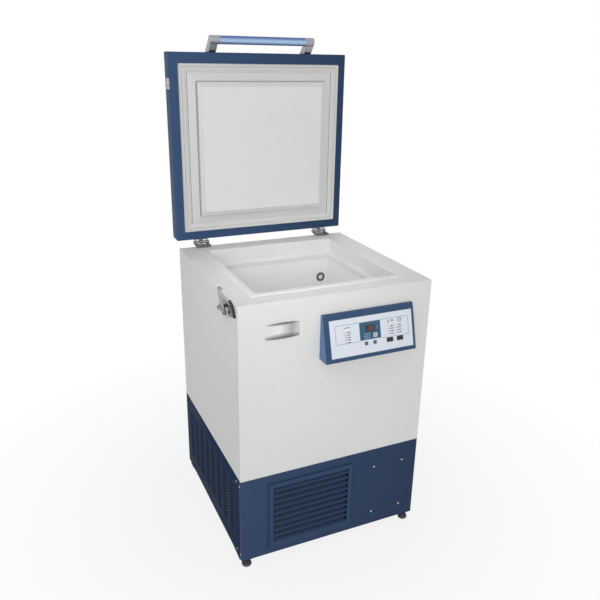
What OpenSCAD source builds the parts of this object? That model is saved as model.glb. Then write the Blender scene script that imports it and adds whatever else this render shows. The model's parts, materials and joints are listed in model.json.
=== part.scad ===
// Chest ultra low temperature freezer with its lid standing open.
// The origin is on the floor under the middle of the cabinet, +X to the right, +Y to the back, +Z up.

/* [Cabinet] */
// Width of the cabinet
cab_w = 730; // [700:1:800]
// Depth of the cabinet from front face to back face
cab_d = 708; // [690:1:780]
// Height of the cabinet above its lower edge
cab_h = 996; // [960:1:1100]
// Height of the blue machine base
base_h = 342; // [335:1:380]
// Height of the cabinet's lower edge above the floor
foot_h = 36; // [30:1:50]
// Thickness of the steel sheets
sheet = 1.5; // [1.4:0.1:2]
// Radius of the folded upright corners
fold_r = 4; // [3:0.5:4.5]
// Width of the folds that stiffen a panel's edge
fold_w = 14; // [10:1:16]
// Thickness of the deck above the machine space
deck_t = 2; // [1.5:0.1:3]

/* [Opening and chamber] */
// Width of the opening under the lid
well_w = 540; // [500:1:560]
// Depth of the opening from front to back
well_d = 528; // [500:1:540]
// Distance from the cabinet's top down to the ledge
well_drop = 55; // [40:1:70]
// Width of the ledge in the opening
ledge_w = 24; // [15:1:30]
// Height of the collar's wall below the ledge
seam_drop = 20; // [12:1:30]
// Width of the raised lip round the opening
lip_w = 24; // [16:1:26]
// Height of the raised lip
lip_h = 4; // [2:0.5:5]
// Wall of the moulded collar
collar_t = 2.5; // [2:0.1:4]
// Wall of the steel liner
liner_t = 1.5; // [1:0.1:2.5]
// Radius of the upright corners inside
well_r = 8; // [4:1:20]
// Height of the foam under the chamber's floor
floor_foam = 126; // [100:1:150]
// Width of the liner's folded rim
rim_w = 16; // [10:1:20]
// Set-back of the liner's wall from the collar's
liner_step = 1; // [0.5:0.1:3]

/* [Evaporator] */
// Diameter of the evaporator's tube
coil_d = 9.5; // [8:0.5:12]
// Number of turns round the liner
coil_turns = 6; // [3:1:6]
// Distance between two turns
coil_pitch = 54; // [30:1:56]
// Height of the first turn above the chamber's floor
coil_first = 36; // [20:1:50]

/* [Access port] */
// Distance of the port to the right of the middle
port_x = 218; // [120:1:225]
// Distance of the port below the chamber's rim
port_drop = 80; // [40:1:300]
// Bore radius of the port
port_r = 12.5; // [8:0.5:14]
// Wall of the port's sleeve
port_t = 2; // [1:0.5:3]
// Radius of the ring on the inner wall
port_ring_r = 20; // [18:0.5:26]
// Thickness of the ring on the inner wall
port_ring_t = 3; // [1:0.5:5]

/* [Front louvre grille] */
// Left edge of the grille from the cabinet's left side
grille_from = 105; // [80:1:120]
// Width of the grille
grille_w = 337; // [300:1:345]
// Lower edge of the grille above the cabinet's lower edge
grille_up = 29; // [25:1:35]
// Height of the grille
grille_h = 277; // [260:1:290]
// How far the grille stands out of the front
grille_out = 8; // [5:0.5:12]
// Number of slots in the grille
slots = 10; // [6:1:12]
// Width of the grille's frame
grille_rim = 17; // [12:1:22]
// Thickness of one louvre blade
blade_t = 1.6; // [1.2:0.1:2.5]

/* [Service panel and side panels] */
// Left edge of the service panel from the cabinet's right side
service_from = 229; // [225:1:240]
// Width of the service panel
service_w = 201; // [180:1:210]
// Lower edge of the service panel above the cabinet's lower edge
service_up = 49; // [40:1:60]
// Height of the service panel
service_h = 223; // [200:1:240]
// Corner radius of the service panel
service_r = 15; // [8:1:25]
// Thickness of the service panel
service_t = 1.2; // [0.8:0.1:2]
// Number of upright bands of holes in a side panel
bands = 8; // [4:1:8]
// Distance between two bands of holes
band_pitch = 75; // [60:1:78]
// Columns of holes in a band
band_cols = 4; // [2:1:4]
// Distance between two columns
col_pitch = 10; // [9:0.5:12]
// Distance between two holes of a column
row_pitch = 13; // [11:0.5:18]
// Number of holes in a column
rows = 17; // [8:1:18]
// Width of a hole across its corners
hole_d = 7.6; // [4:0.2:8]
// Height of the lowest holes above the cabinet's lower edge
band_up = 64; // [50:1:70]

/* [Feet] */
// Radius of a foot's pad
pad_r = 18.5; // [15:0.5:22]
// Thickness of the rubber ring under a foot
pad_t = 9; // [5:1:12]
// Radius of a foot's threaded stud
stud_r = 6; // [5:0.5:8]
// Distance of a foot's axis from the cabinet's sides
foot_in = 26; // [24:1:34]
// Distance of a foot's axis from the front or the back
foot_front = 20; // [19:1:34]
// How far a foot screws out
foot_travel = 15; // [10:1:20]
// Depth of the bracket's gusset
gusset = 13.5; // [8:0.5:18]

/* [Machine space] */
// Radius of a compressor's shell
comp_r = 88; // [70:1:92]
// Height of a compressor's shell
comp_h = 185; // [150:1:200]
// Thickness of the condenser
cond_t = 40; // [30:1:50]
// Radius swept by the fan
fan_r = 118; // [90:1:120]
// Radius of the fan's shaft
shaft_r = 4; // [3:0.5:6]
// Number of the fan's blades
fan_blades = 5; // [3:1:7]
// Radius of the expansion tank
tank_r = 52; // [40:1:55]
// Height of the expansion tank
tank_h = 230; // [160:1:250]
// Radius of the refrigerant pipes
pipe_r = 5; // [3:0.5:6]

/* [Control panel] */
// Width of the control housing
panel_w = 354; // [340:1:380]
// Middle of the control housing to the right of the cabinet's middle
panel_x = 104; // [60:1:130]
// Lower edge of the control housing above the cabinet's lower edge
panel_up = 770; // [700:1:790]
// Height of the control housing
panel_h = 161; // [155:1:190]
// Depth of the control housing at its lower edge
panel_low = 56; // [50:1:70]
// Depth of the control housing at its upper edge
panel_high = 12; // [10:0.5:16]
// Wall of the control housing
panel_wall = 3; // [2.5:0.1:4]
// Thickness of the white face
face_t = 2; // [1.5:0.1:2.4]
// Travel of a key
key_travel = 1; // [0.5:0.1:1.5]
// Swing of a rocker from one side to the other
rock_deg = 16; // [10:1:20]

/* [Badge plate] */
// Width of the bare badge plate
badge_w = 121; // [100:1:140]
// Height of the bare badge plate
badge_h = 57; // [45:1:65]
// Thickness of the badge plate
badge_t = 3; // [1.5:0.5:5]

/* [Lid] */
// Width of the lid
lid_w = 735; // [725:1:740]
// Length of the lid from hinge edge to handle edge
lid_l = 718; // [710:1:730]
// Thickness of the lid
lid_t = 68; // [55:1:80]
// Height of the closed lid's frame above the cabinet's top
lid_gap = 12; // [10:0.5:13]
// Width of the gasket's ring
gasket_w = 31; // [26:1:32]
// Blue border outside the gasket
border = 33.5; // [30:0.5:36]
// Width of the shelf between the gasket's seat and the plug, at the sides
shelf_side = 36; // [34:1:60]
// Width of the shelf between the gasket's seat and the plug, at the hinges and the handle
shelf_end = 34.5; // [32:0.5:60]
// Depth of the plug below the cabinet's top
plug_drop = 4; // [2:0.5:8]
// Width of the plug's sloping border
plug_band = 20; // [12:1:30]
// Further depth of the plug's flat middle
plug_rise = 7; // [4:0.5:10]
// Wall of the lid's inner pan
pan_t = 2.5; // [2:0.1:3]

/* [Hinges] */
// Hinge axis behind the cabinet's back face
axis_back = 17.5; // [15:0.5:22]
// Hinge axis above the cabinet's top
axis_up = 13.5; // [12.5:0.5:14.5]
// Distance from the hinge axis to the lid's edge
axis_gap = 12.5; // [12:0.5:14]
// Radius of the hinge knuckles
knuckle_r = 8; // [7:0.5:8.5]
// Radius of the hinge pins
pin_r = 4; // [3:0.5:4.5]
// Width of one hinge
hinge_w = 60; // [50:1:80]
// Distance of each hinge from the middle
hinge_x = 268; // [200:1:300]
// Thickness of a hinge leaf
leaf_t = 3; // [2:0.5:3]

/* [Handle] */
// Diameter of the handle's tube
grip_d = 31; // [24:1:36]
// Length of the handle's coloured tube
grip_l = 348; // [250:1:420]
// Length of the metal cap at each end
cap_l = 39; // [34:1:50]
// Width of a handle arm
arm_w = 30; // [20:1:32]
// Distance from the lid's edge out to the tube's middle
grip_out = 44; // [38:1:60]
// Distance from the lid's inner face to the tube's middle
grip_fwd = 14; // [5:1:25]
// Length of a handle foot on the lid's edge
grip_foot = 45; // [30:1:50]

/* [Latch] */
// Distance of the latch in front of the cabinet's middle
latch_y = 245; // [200:1:270]
// Height of the latch's pivot below the cabinet's top
latch_down = 46; // [40:1:60]
// Distance of the latch's pivot out of the side
latch_out = 16; // [14:0.5:22]
// Width of the latch's arm at its pivot
latch_w = 46; // [40:1:48]
// Width of the latch's hook
hook_w = 24; // [22:1:26]
// Lean of the resting arm away from the cabinet
latch_lean = 6; // [6:1:12]

/* [Hidden] */
// Gap between pieces of different bodies, and running clearance round a pin
gap = 0.3;
run = 0.05;
// Smoothness of round surfaces
$fn = 48;
// Half sizes and levels of the cabinet, in millimetres above the floor
hw = cab_w / 2;
hd = cab_d / 2;
z_low = foot_h;
z_split = foot_h + base_h;
z_top = foot_h + cab_h;
z_ledge = z_top - well_drop;
z_seam = z_ledge - seam_drop;
z_deck = z_split + deck_t;
z_floor = z_deck + floor_foam;
in_w = hw - sheet;
in_d = hd - sheet;
// Half sizes of the opening, of the collar's narrow part and of the chamber
well_hw = well_w / 2;
well_hd = well_d / 2;
neck_hw = well_hw - ledge_w;
neck_hd = well_hd - ledge_w;
tub_hw = neck_hw - liner_step;
tub_hd = neck_hd - liner_step;
// Evaporator tube's centre line outside the liner
coil_r = coil_d / 2;
coil_bend = well_r + coil_r + gap;
coil_hw = tub_hw + liner_t + coil_r + gap;
coil_hd = tub_hd + liner_t + coil_r + gap;
foam_hw = coil_hw + coil_r + gap;
foam_hd = coil_hd + coil_r + gap;
coil_z0 = z_floor + liner_t + coil_first;
riser_x = -coil_hw;
riser_y = coil_hd - 130;
// Access port
port_z = z_seam - port_drop;
sleeve_r = port_r + port_t;
plug_flange = 5;
plug_travel = 140;
// Grille
grille_x0 = -hw + grille_from;
grille_x1 = grille_x0 + grille_w;
grille_z0 = z_low + grille_up;
grille_z1 = grille_z0 + grille_h;
slot_pitch = (grille_h - 2 * grille_rim) / slots;
// Service panel
serv_x0 = hw - service_from;
serv_z0 = z_low + service_up;
screw_r = 1.9;
screw_head = 4.5;
screw_head_t = 1.8;
screw_l = 3;
serv_screw_x = 38;
serv_screw_z = 8;
side_screw_y = [hd - 9, hd - 45];
side_screw_z = [25, 320];
// Base pan and feet
pan_floor = 2;
pan_wall = 2;
pan_h = 20;
nut_h = 12;
nut_r = 11;
foot_x = hw - foot_in;
foot_y = hd - foot_front;
tongue_t = 3;
stud_top = z_low + pan_floor + nut_h + foot_travel + 5;
post_w = 30;
pan_top = z_low + pan_floor;
// Machine space layout: the fan's axis, the compressors, the tank and the exchanger
cond_w = grille_w - 2 * grille_rim;
cond_h = 250;
cond_x = (grille_x0 + grille_x1) / 2;
cond_z = pan_top + 2;
filter_t = 8;
filter_y = -hd + sheet;
cond_y = filter_y + filter_t + 4;
shroud_y = cond_y + cond_t;
shroud_t = 2;
duct_l = 24;
fan_z = cond_z + cond_h / 2;
fan_gap = 4;
hub_r = 24;
hub_l = 18;
fan_y = shroud_y + shroud_t + fan_gap;
motor_y = fan_y + hub_l + 6;
motor_r = 38;
motor_l = 42;
comp_y = hd - 160;
comp_x = [-hw + 155, 55];
comp_z = pan_top + 21;
stub_x = 42;
stub_h = 18;
comp_top = comp_z + comp_h + stub_h;
comp_edge = 30;
comp_plate = 60;
grommet_h = 15;
grommet_r = 12;
grommet_x = 18;
grommet_y = 44;
term_w = 60;
term_out = 22;
term_in = 10;
term_low = 70;
term_h = 60;
tank_x = hw - 80;
tank_y = 10;
hx = [66, 56, 190];
hx_x = hw - 120;
hx_y = hd - 130;
hx_z = pan_top;
box_size = [150, 70, 170];
box_x = serv_x0 + service_w / 2;
box_y = -hd + 20;
box_z = pan_top;
run_high = z_split - 16;
run_low = z_split - 34;
elbow = 0.6;
inlet_x = hw - 130;
inlet_z = z_low + 70;
inlet = [56, 40, 30];
// Control panel, in a frame whose z runs up the sloping face and whose y runs into it
tilt = atan2(panel_low - panel_high, panel_h);
face_l = sqrt(pow(panel_low - panel_high, 2) + pow(panel_h, 2));
panel_z = foot_h + panel_up;
face_side = 10;
face_low = 11.5;
face_w = panel_w - 2 * face_side - 11;
face_h = 130;
face_x = panel_x + 5.5;
block_w = 82;
block_h = 62;
block_x = face_x - 8;
block_z = 58.4;
block_t = 0.8;
window_w = 34;
window_h = 23;
window_z = block_z + 27;
key_z = 46;
key_w = 12;
key_xs = [block_x - 18, block_x + 16];
set_x = block_x + 19;
set_z = block_z + 13;
set_w = 15;
key_flange = 2;
rock_w = 26;
rock_h = 16;
rock_xs = [face_x + 68, face_x + 109];
rock_pin = 1.5;
board_y = 16;
board_t = 1.6;
post_l = board_y - face_t;
lamp_r = 1.2;
lamp_proud = 0.4;
lamp_left = 107;
lamp_first = 63;
lamp_second = 94;
lamp_low = 60;
lamp_up = 66;
lamp_step = 8.5;
lamp_pitch = 9;
// Badge plate
badge_x = -hw + 152.5;
badge_z = foot_h + 893;
// Lid
axis_y = hd + axis_back;
axis_z = z_top + axis_up;
lid_y = axis_y - (axis_up - lid_gap);
lid_z0 = axis_z + axis_gap;
lid_z1 = lid_z0 + lid_l;
lid_c = (lid_z0 + lid_z1) / 2 - 2.5;
gasket_hw = lid_w / 2 - border;
gasket_hl = lid_l / 2 - border - 4;
seat_hw = gasket_hw - gasket_w;
seat_hl = gasket_hl - gasket_w;
plug_w = seat_hw - shelf_side;
plug_l = seat_hl - shelf_end;
frame_in = 18;
margin = 12;
edge_lift = 6.5;
plug_y = lid_y - lid_gap - plug_drop;
mid_y = plug_y - plug_rise;
// Hinges
hinge_gap = 9;
knuckle_w = 12;
spring_wire = 1;
spring_r = pin_r + spring_wire + gap;
spring_turns = 3;
arm_low = 10.5;
arm_high = 4.5;
leaf_down = 80;
hinge_pad = 26;
leaf_up = 54;
// Handle
grip_r = grip_d / 2;
grip_y = lid_y - grip_fwd;
grip_z = lid_z1 + grip_out;
cap_r = grip_r + 0.8;
foot_mid = lid_y + 27;
grip_arm_t = 16;
spigot_l = 10;
spigot_r = grip_r - 3;
// Latch and keeper
latch_x = -hw - latch_out;
latch_z = z_top - latch_down;
arm_out = 8;
arm_in = 5;
barrel_r = 9;
lug_t = 5;
keeper_z = z_top + lid_gap + 6;
eye_y = -latch_y - 42;
guard_r = 39;
keeper_stud_r = 4;
keeper_boss = 0.5;
keeper_t = 3;
hook_clear = 0.5;
hook_play = 1;
keeper_stud_l = hw + latch_out - arm_in - hook_clear - lid_w / 2;
hook_z = keeper_z + keeper_stud_r + hook_play - latch_z;
hook_l = keeper_stud_l - keeper_t;
hook_t = 5;
stud_shift = 7;
keeper_y = lid_y + 6;
keeper_up = axis_z + axis_y + latch_y - stud_shift;

// Rectangle about the middle, given by its half sizes, with round corners of true arcs
module round_rect(a, b, r) {
    square([2 * (a - r), 2 * b], center = true);
    square([2 * a, 2 * (b - r)], center = true);
    for (sx = [-1, 1], sy = [-1, 1]) translate([sx * (a - r), sy * (b - r)]) circle(r);
}

// Upright block with round corners between two levels
module round_block(a, b, r, z0, z1) {
    translate([0, 0, z0]) linear_extrude(z1 - z0) round_rect(a, b, r);
}

// Box between two corners
module span(lo, hi) {
    translate(lo) cube(hi - lo);
}

// Cylinder along +Y that starts at the given point
module rod_y(p, r, l) {
    translate(p) rotate([-90, 0, 0]) cylinder(r = r, h = l);
}

// Cylinder along +X that starts at the given point
module rod_x(p, r, l) {
    translate(p) rotate([0, 90, 0]) cylinder(r = r, h = l);
}

// Straight round bar between two points
module bar(p, q, r) {
    d = q - p;
    l = norm(d);
    translate(p) rotate([0, acos(d[2] / l), atan2(d[1], d[0])]) cylinder(r = r, h = l);
}

// Pipe through a list of points, with a slightly thicker fitting at each elbow
module pipe(points, r) {
    for (i = [0:len(points) - 2]) bar(points[i], points[i + 1], r);
    for (i = [1:len(points) - 2]) translate(points[i]) sphere(r + elbow);
}

// Closed can with rounded edges, standing on z = 0
module can(r, h, edge) {
    rotate_extrude() {
        square([r - edge, h]);
        translate([0, edge]) square([r, h - 2 * edge]);
        for (z = [edge, h - edge]) translate([r - edge, z]) intersection() {
            circle(edge);
            translate([-edge, -edge]) square(2 * edge);
        }
    }
}

// Sheet profile in Y and Z, drawn out along X between two places
module along_x(x0, x1) {
    translate([x0, 0, 0]) rotate([90, 0, 90]) linear_extrude(x1 - x0) children();
}

module outer_shell() {
    color("gainsboro") difference() {
        round_block(hw, hd, fold_r, z_split, z_top);
        span([-in_w, -in_d, z_split - 1], [in_w, in_d, z_top - sheet]);
        span([-hw - 1, hd - sheet, z_split - 1], [hw + 1, hd + 1, z_top + 1]);
        round_block(well_hw + collar_t, well_hd + collar_t, well_r, z_top - 2 * sheet, z_top + 1);
    }
}

module rear_panel() {
    color("gainsboro") difference() {
        span([-hw + 2, hd - sheet, z_split], [hw - 2, hd, z_top]);
        rod_y([port_x, hd - 2 * sheet, port_z], sleeve_r + run, 3 * sheet);
    }
}

// The collar carries the raised lip, the upper wall, the ledge and the short wall under it
module opening_collar() {
    out_w = well_hw + collar_t;
    out_d = well_hd + collar_t;
    color("whitesmoke") difference() {
        union() {
            round_block(well_hw + lip_w, well_hd + lip_w, well_r, z_top, z_top + lip_h);
            round_block(out_w, out_d, well_r, z_ledge - collar_t, z_top + lip_h);
            round_block(neck_hw + collar_t, neck_hd + collar_t, well_r, z_seam, z_ledge);
        }
        round_block(well_hw, well_hd, well_r, z_ledge, z_top + lip_h + 1);
        round_block(neck_hw, neck_hd, well_r, z_seam - 1, z_ledge + 1);
    }
}

module inner_liner() {
    color("whitesmoke") difference() {
        union() {
            round_block(tub_hw + liner_t, tub_hd + liner_t, well_r, z_floor, z_seam);
            round_block(tub_hw + rim_w, tub_hd + rim_w, well_r, z_seam - liner_t, z_seam);
        }
        round_block(tub_hw, tub_hd, well_r - liner_t, z_floor + liner_t, z_seam + 1);
        rod_y([port_x, tub_hd - 1, port_z], sleeve_r + run, liner_t + 2);
    }
}

module foam_insulation() {
    wide_w = well_hw + collar_t;
    wide_d = well_hd + collar_t;
    rim_z = z_seam - liner_t;
    color("khaki") difference() {
        span([-in_w, -in_d, z_deck], [in_w, in_d, z_top - sheet]);
        span([-foam_hw, -foam_hd, z_floor], [foam_hw, foam_hd, z_top]);
        span([-wide_w, -wide_d, rim_z], [wide_w, wide_d, z_top]);
        translate([riser_x, riser_y, z_deck - 1]) cylinder(r = coil_r + gap, h = floor_foam + 2);
        rod_y([port_x, foam_hd - 1, port_z], sleeve_r + run, in_d - foam_hd + 2);
    }
}

// One turn of the evaporator's tube round the liner
module coil_turn(z) {
    a = coil_hw - coil_bend;
    b = coil_hd - coil_bend;
    for (s = [-1, 1]) {
        rod_y([s * coil_hw, -b, z], coil_r, 2 * b);
        rod_x([-a, s * coil_hd, z], coil_r, 2 * a);
    }
    for (i = [0:3]) rotate([0, 0, 90 * i]) {
        c = i % 2 == 0 ? [a, b, z] : [b, a, z];
        translate(c) rotate_extrude(angle = 90) translate([coil_bend, 0]) circle(coil_r);
    }
}

module evaporator_coil() {
    top = coil_z0 + (coil_turns - 1) * coil_pitch;
    color("peru") {
        for (i = [0:coil_turns - 1]) coil_turn(coil_z0 + i * coil_pitch);
        translate([riser_x, riser_y, z_split - 12]) cylinder(r = coil_r, h = top - z_split + 12);
    }
}

module port_sleeve() {
    ring_y = tub_hd - port_ring_t;
    color("dimgray") difference() {
        union() {
            rod_y([port_x, ring_y, port_z], sleeve_r, hd - ring_y);
            rod_y([port_x, ring_y, port_z], port_ring_r, port_ring_t);
        }
        rod_y([port_x, ring_y - 1, port_z], port_r, hd - ring_y + 2);
    }
}

module port_plug() {
    color("white") union() {
        rod_y([port_x, tub_hd - port_ring_t + 1, port_z], port_r - run, hd - tub_hd + port_ring_t);
        rod_y([port_x, hd + gap, port_z], sleeve_r + 4, plug_flange);
    }
}

module each_corner() {
    for (sx = [-1, 1], sy = [-1, 1]) scale_xy(sx, sy) children();
}

// Mirror image across X, Y or both
module scale_xy(sx, sy) {
    mirror([sx < 0 ? 1 : 0, 0, 0]) mirror([0, sy < 0 ? 1 : 0, 0]) children();
}

module base_pan() {
    color("slategray") difference() {
        union() {
            span([-in_w, -in_d, z_low], [in_w, in_d, pan_top]);
            difference() {
                span([-in_w, -in_d, z_low], [in_w, in_d, z_low + pan_h]);
                span([-in_w + pan_wall, -in_d + pan_wall, z_low - 1],
                    [in_w - pan_wall, in_d - pan_wall, z_low + pan_h + 1]);
            }
            each_corner() translate([foot_x, foot_y, pan_top]) cylinder(r = nut_r, h = nut_h);
        }
        each_corner() translate([foot_x, foot_y, z_low - 1]) {
            cylinder(r = stud_r + run, h = pan_h + nut_h);
        }
    }
}

// Black brackets under the pan, each a tongue that the foot screws through and a side gusset
module foot_brackets() {
    far = hd - 102;
    near = hd - 25;
    color("black") each_corner() {
        difference() {
            span([foot_x - pad_r - 2, far, z_low - tongue_t], [hw - 1, hd - 2, z_low]);
            translate([foot_x, foot_y, z_low - tongue_t - 1]) cylinder(r = stud_r + 1, h = tongue_t + 2);
        }
        along_x(hw - 1 - tongue_t, hw - 1) polygon([
            [far, z_low - tongue_t],
            [near, z_low - tongue_t],
            [near, z_low - gusset]
        ]);
    }
}

// Levelling foot at one corner: rubber ring, moulded cone and threaded stud
module levelling_foot(sx, sy) {
    top = z_low - tongue_t - gap;
    color("black") scale_xy(sx, sy) translate([foot_x, foot_y, 0]) {
        cylinder(r1 = pad_r - 1.5, r2 = pad_r, h = pad_t / 2);
        translate([0, 0, pad_t / 2]) cylinder(r = pad_r, h = pad_t / 2);
        translate([0, 0, pad_t]) cylinder(r1 = pad_r - 2.5, r2 = 13, h = top - pad_t);
        translate([0, 0, pad_t]) cylinder(r = stud_r, h = stud_top - pad_t);
    }
}

module foot_front_left() {
    levelling_foot(-1, -1);
}

module foot_front_right() {
    levelling_foot(1, -1);
}

module foot_rear_left() {
    levelling_foot(-1, 1);
}

module foot_rear_right() {
    levelling_foot(1, 1);
}

// Deck above the machine space, on four angle posts that stand on the pan
module deck_frame() {
    a = in_w - pan_wall;
    b = in_d - pan_wall;
    color("slategray") {
        difference() {
            span([-in_w, -in_d, z_split], [in_w, in_d, z_deck]);
            translate([riser_x, riser_y, z_split - 1]) cylinder(r = coil_r + gap, h = deck_t + 2);
        }
        each_corner() {
            span([a - post_w, b - pan_wall, pan_top], [a, b, z_split]);
            span([a - pan_wall, b - post_w, pan_top], [a, b, z_split]);
        }
    }
}

// Places of the service panel's four screws
function service_screws() = [for (i = [0, 1], j = [0, 1])
    [serv_x0 + serv_screw_x + i * (service_w - 2 * serv_screw_x),
     serv_z0 + serv_screw_z + j * (service_h - 2 * serv_screw_z)]];

module service_plate(inset, depth) {
    translate([serv_x0 + service_w / 2, 0, serv_z0 + service_h / 2]) rotate([90, 0, 0])
        linear_extrude(depth) round_rect(service_w / 2 - inset, service_h / 2 - inset, service_r - inset / 2);
}

// Blue front of the base, folded back at both ends
module base_front_panel() {
    open_in = 12;
    color("darkslateblue") difference() {
        round_block(hw, hd, fold_r, z_low, z_split);
        span([-in_w, -in_d, z_low - 1], [in_w, in_d, z_split + 1]);
        span([-hw - 1, -hd + fold_w, z_low - 1], [hw + 1, hd + 1, z_split + 1]);
        span([grille_x0 + open_in, -hd - 1, grille_z0 + open_in],
            [grille_x1 - open_in, -hd + sheet + 1, grille_z1 - open_in]);
        translate([0, -hd + sheet + 1, 0]) service_plate(2 * serv_screw_z, sheet + 2);
        for (p = service_screws()) rod_y([p[0], -hd - 1, p[1]], screw_r + run, sheet + 2);
        for (s = [-1, 1], z = side_screw_z) {
            rod_x([s * hw - 3, -side_screw_y[0], z_low + z], screw_r + run, 6);
        }
    }
}

// One sloping louvre blade: it leans out and down, with an open slot under its lip
module blade(z) {
    low = -hd - grille_out + 1;
    high = -hd - 0.5;
    lift = slot_pitch - 6;
    along_x(grille_x0 + grille_rim, grille_x1 - grille_rim) polygon([
        [low, z],
        [low, z + 3],
        [high - blade_t, z + lift],
        [high, z + lift],
        [low + blade_t, z + 2],
        [low + blade_t, z]
    ]);
}

module louvre_grille() {
    color("darkslateblue") {
        difference() {
            span([grille_x0, -hd - grille_out, grille_z0], [grille_x1, -hd, grille_z1]);
            span([grille_x0 + grille_rim, -hd - grille_out - 1, grille_z0 + grille_rim],
                [grille_x1 - grille_rim, -hd + 1, grille_z1 - grille_rim]);
        }
        for (i = [0:slots - 1]) blade(grille_z0 + grille_rim + i * slot_pitch);
    }
}

// Filter mat in a thin frame behind the grille
module air_filter() {
    rim = 8;
    color("black") difference() {
        span([grille_x0 + 4, filter_y, grille_z0 + 4], [grille_x1 - 4, filter_y + filter_t, grille_z1 - 4]);
        for (s = [0, 1]) {
            y = s == 0 ? filter_y - 1 : filter_y + filter_t - 2;
            span([grille_x0 + 4 + rim, y, grille_z0 + 4 + rim], [grille_x1 - 4 - rim, y + 3, grille_z1 - 4 - rim]);
        }
    }
}

module service_panel() {
    color("darkslateblue") difference() {
        translate([0, -hd, 0]) service_plate(0, service_t);
        for (p = service_screws()) rod_y([p[0], -hd - service_t - 1, p[1]], screw_r + run, service_t + 2);
    }
}

// Perforated blue side with its upright bands of staggered holes
module side_panel(s) {
    x = s > 0 ? in_w : -hw;
    color("midnightblue") difference() {
        span([x, -hd + fold_w, z_low], [x + sheet, hd - sheet, z_split]);
        translate([x - 1, 0, 0]) rotate([90, 0, 90]) linear_extrude(sheet + 2) {
            for (b = [0:bands - 1], c = [0:band_cols - 1], r = [0:rows - 1]) {
                translate([
                    (b - (bands - 1) / 2) * band_pitch + (c - (band_cols - 1) / 2) * col_pitch + 13,
                    z_low + band_up + r * row_pitch + (c % 2) * row_pitch / 2
                ]) circle(d = hole_d, $fn = 6);
            }
        }
        for (z = side_screw_z) {
            rod_x([x - 1, -side_screw_y[1], z_low + z], screw_r + run, sheet + 2);
        }
    }
}

module left_side_panel() {
    side_panel(-1);
}

module right_side_panel() {
    side_panel(1);
}

// Lower back cover with two groups of air slots
module rear_cover() {
    slot_h = 6;
    slot_w = 200;
    color("slategray") difference() {
        span([-in_w, hd - sheet, z_low], [in_w, hd, z_split]);
        for (x = [-hw / 2, 30], i = [0:9]) {
            span([x - slot_w / 2, hd - sheet - 1, z_low + 110 + i * 18],
                [x + slot_w / 2, hd + 1, z_low + 110 + i * 18 + slot_h]);
        }
        span([inlet_x - inlet[0] / 2, hd - sheet - 1, inlet_z - inlet[1] / 2],
            [inlet_x + inlet[0] / 2, hd + 1, inlet_z + inlet[1] / 2]);
    }
}

// Mains inlet: a flanged socket with three blades in its well
module power_inlet() {
    w = inlet[0];
    h = inlet[1];
    color("black") translate([inlet_x, hd, inlet_z]) {
        difference() {
            union() {
                span([-w / 2 - 5, 0, -h / 2 - 5], [w / 2 + 5, 2, h / 2 + 5]);
                span([-w / 2, -inlet[2], -h / 2], [w / 2, 2, h / 2]);
            }
            span([-w / 2 + 8, -inlet[2] + 6, -h / 2 + 8], [w / 2 - 8, 3, h / 2 - 8]);
        }
        for (x = [-10, 0, 10]) span([x - 1, -inlet[2] + 6, -4], [x + 1, -6, 4]);
    }
}

// Pan head screw along +Y into the front, at its place in X and Z
module front_screw(p) {
    rod_y([p[0], -hd - service_t - screw_head_t, p[1]], screw_head, screw_head_t);
    rod_y([p[0], -hd - service_t, p[1]], screw_r, screw_l);
}

module panel_screws() {
    color("silver") {
        for (p = service_screws()) front_screw(p);
        for (s = [-1, 1], y = side_screw_y, z = side_screw_z) scale_xy(s, 1) {
            rod_x([hw, -y, z_low + z], screw_head, screw_head_t);
            rod_x([hw - screw_l + 0.5, -y, z_low + z], screw_r, screw_l);
        }
    }
}

// Hermetic compressor: shell, foot plate, four grommets, terminal box and two stubs
module compressor(x) {
    plate_z = pan_top + grommet_h;
    color("dimgray") {
        translate([x, comp_y, comp_z]) can(comp_r, comp_h, comp_edge);
        for (sx = [-1, 1]) translate([x + sx * stub_x, comp_y, comp_z + comp_h - 20]) {
            cylinder(r = pipe_r + 1.5, h = 20 + stub_h);
        }
        span([x - comp_r, comp_y - comp_plate, plate_z], [x + comp_r, comp_y + comp_plate, comp_z + 1]);
        span([x - term_w / 2, comp_y - comp_r - term_out, comp_z + term_low],
            [x + term_w / 2, comp_y - comp_r + term_in, comp_z + term_low + term_h]);
        for (sx = [-1, 1], sy = [-1, 1]) translate([x + sx * (comp_r - grommet_x), comp_y + sy * grommet_y, pan_top]) {
            cylinder(r = grommet_r, h = plate_z - pan_top);
        }
    }
}

module compressor_first() {
    compressor(comp_x[0]);
}

module compressor_second() {
    compressor(comp_x[1]);
}

// Finned condenser between two end plates, with its tubes' bends and two stubs
module condenser() {
    fins = 24;
    pitch = (cond_w - 12) / (fins - 1);
    x0 = cond_x - cond_w / 2;
    color("silver") {
        for (i = [0:fins - 1]) {
            x = x0 + 6 + i * pitch;
            span([x - 0.8, cond_y + 2, cond_z + 2], [x + 0.8, cond_y + cond_t - 2, cond_z + cond_h - 2]);
        }
        for (s = [0, 1]) {
            span([x0 + s * (cond_w - 3), cond_y, cond_z - 2], [x0 + 3 + s * (cond_w - 3), cond_y + cond_t, cond_z + cond_h]);
        }
        for (r = [0:7]) rod_x([x0 + 1, cond_y + cond_t / 2, cond_z + 20 + r * 30], 4, cond_w - 2);
        for (x = [x0 + 20, x0 + cond_w - 20]) translate([x, cond_y + cond_t / 2, cond_z + cond_h - 30]) {
            cylinder(r = pipe_r + 1.5, h = 40);
        }
    }
}

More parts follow.
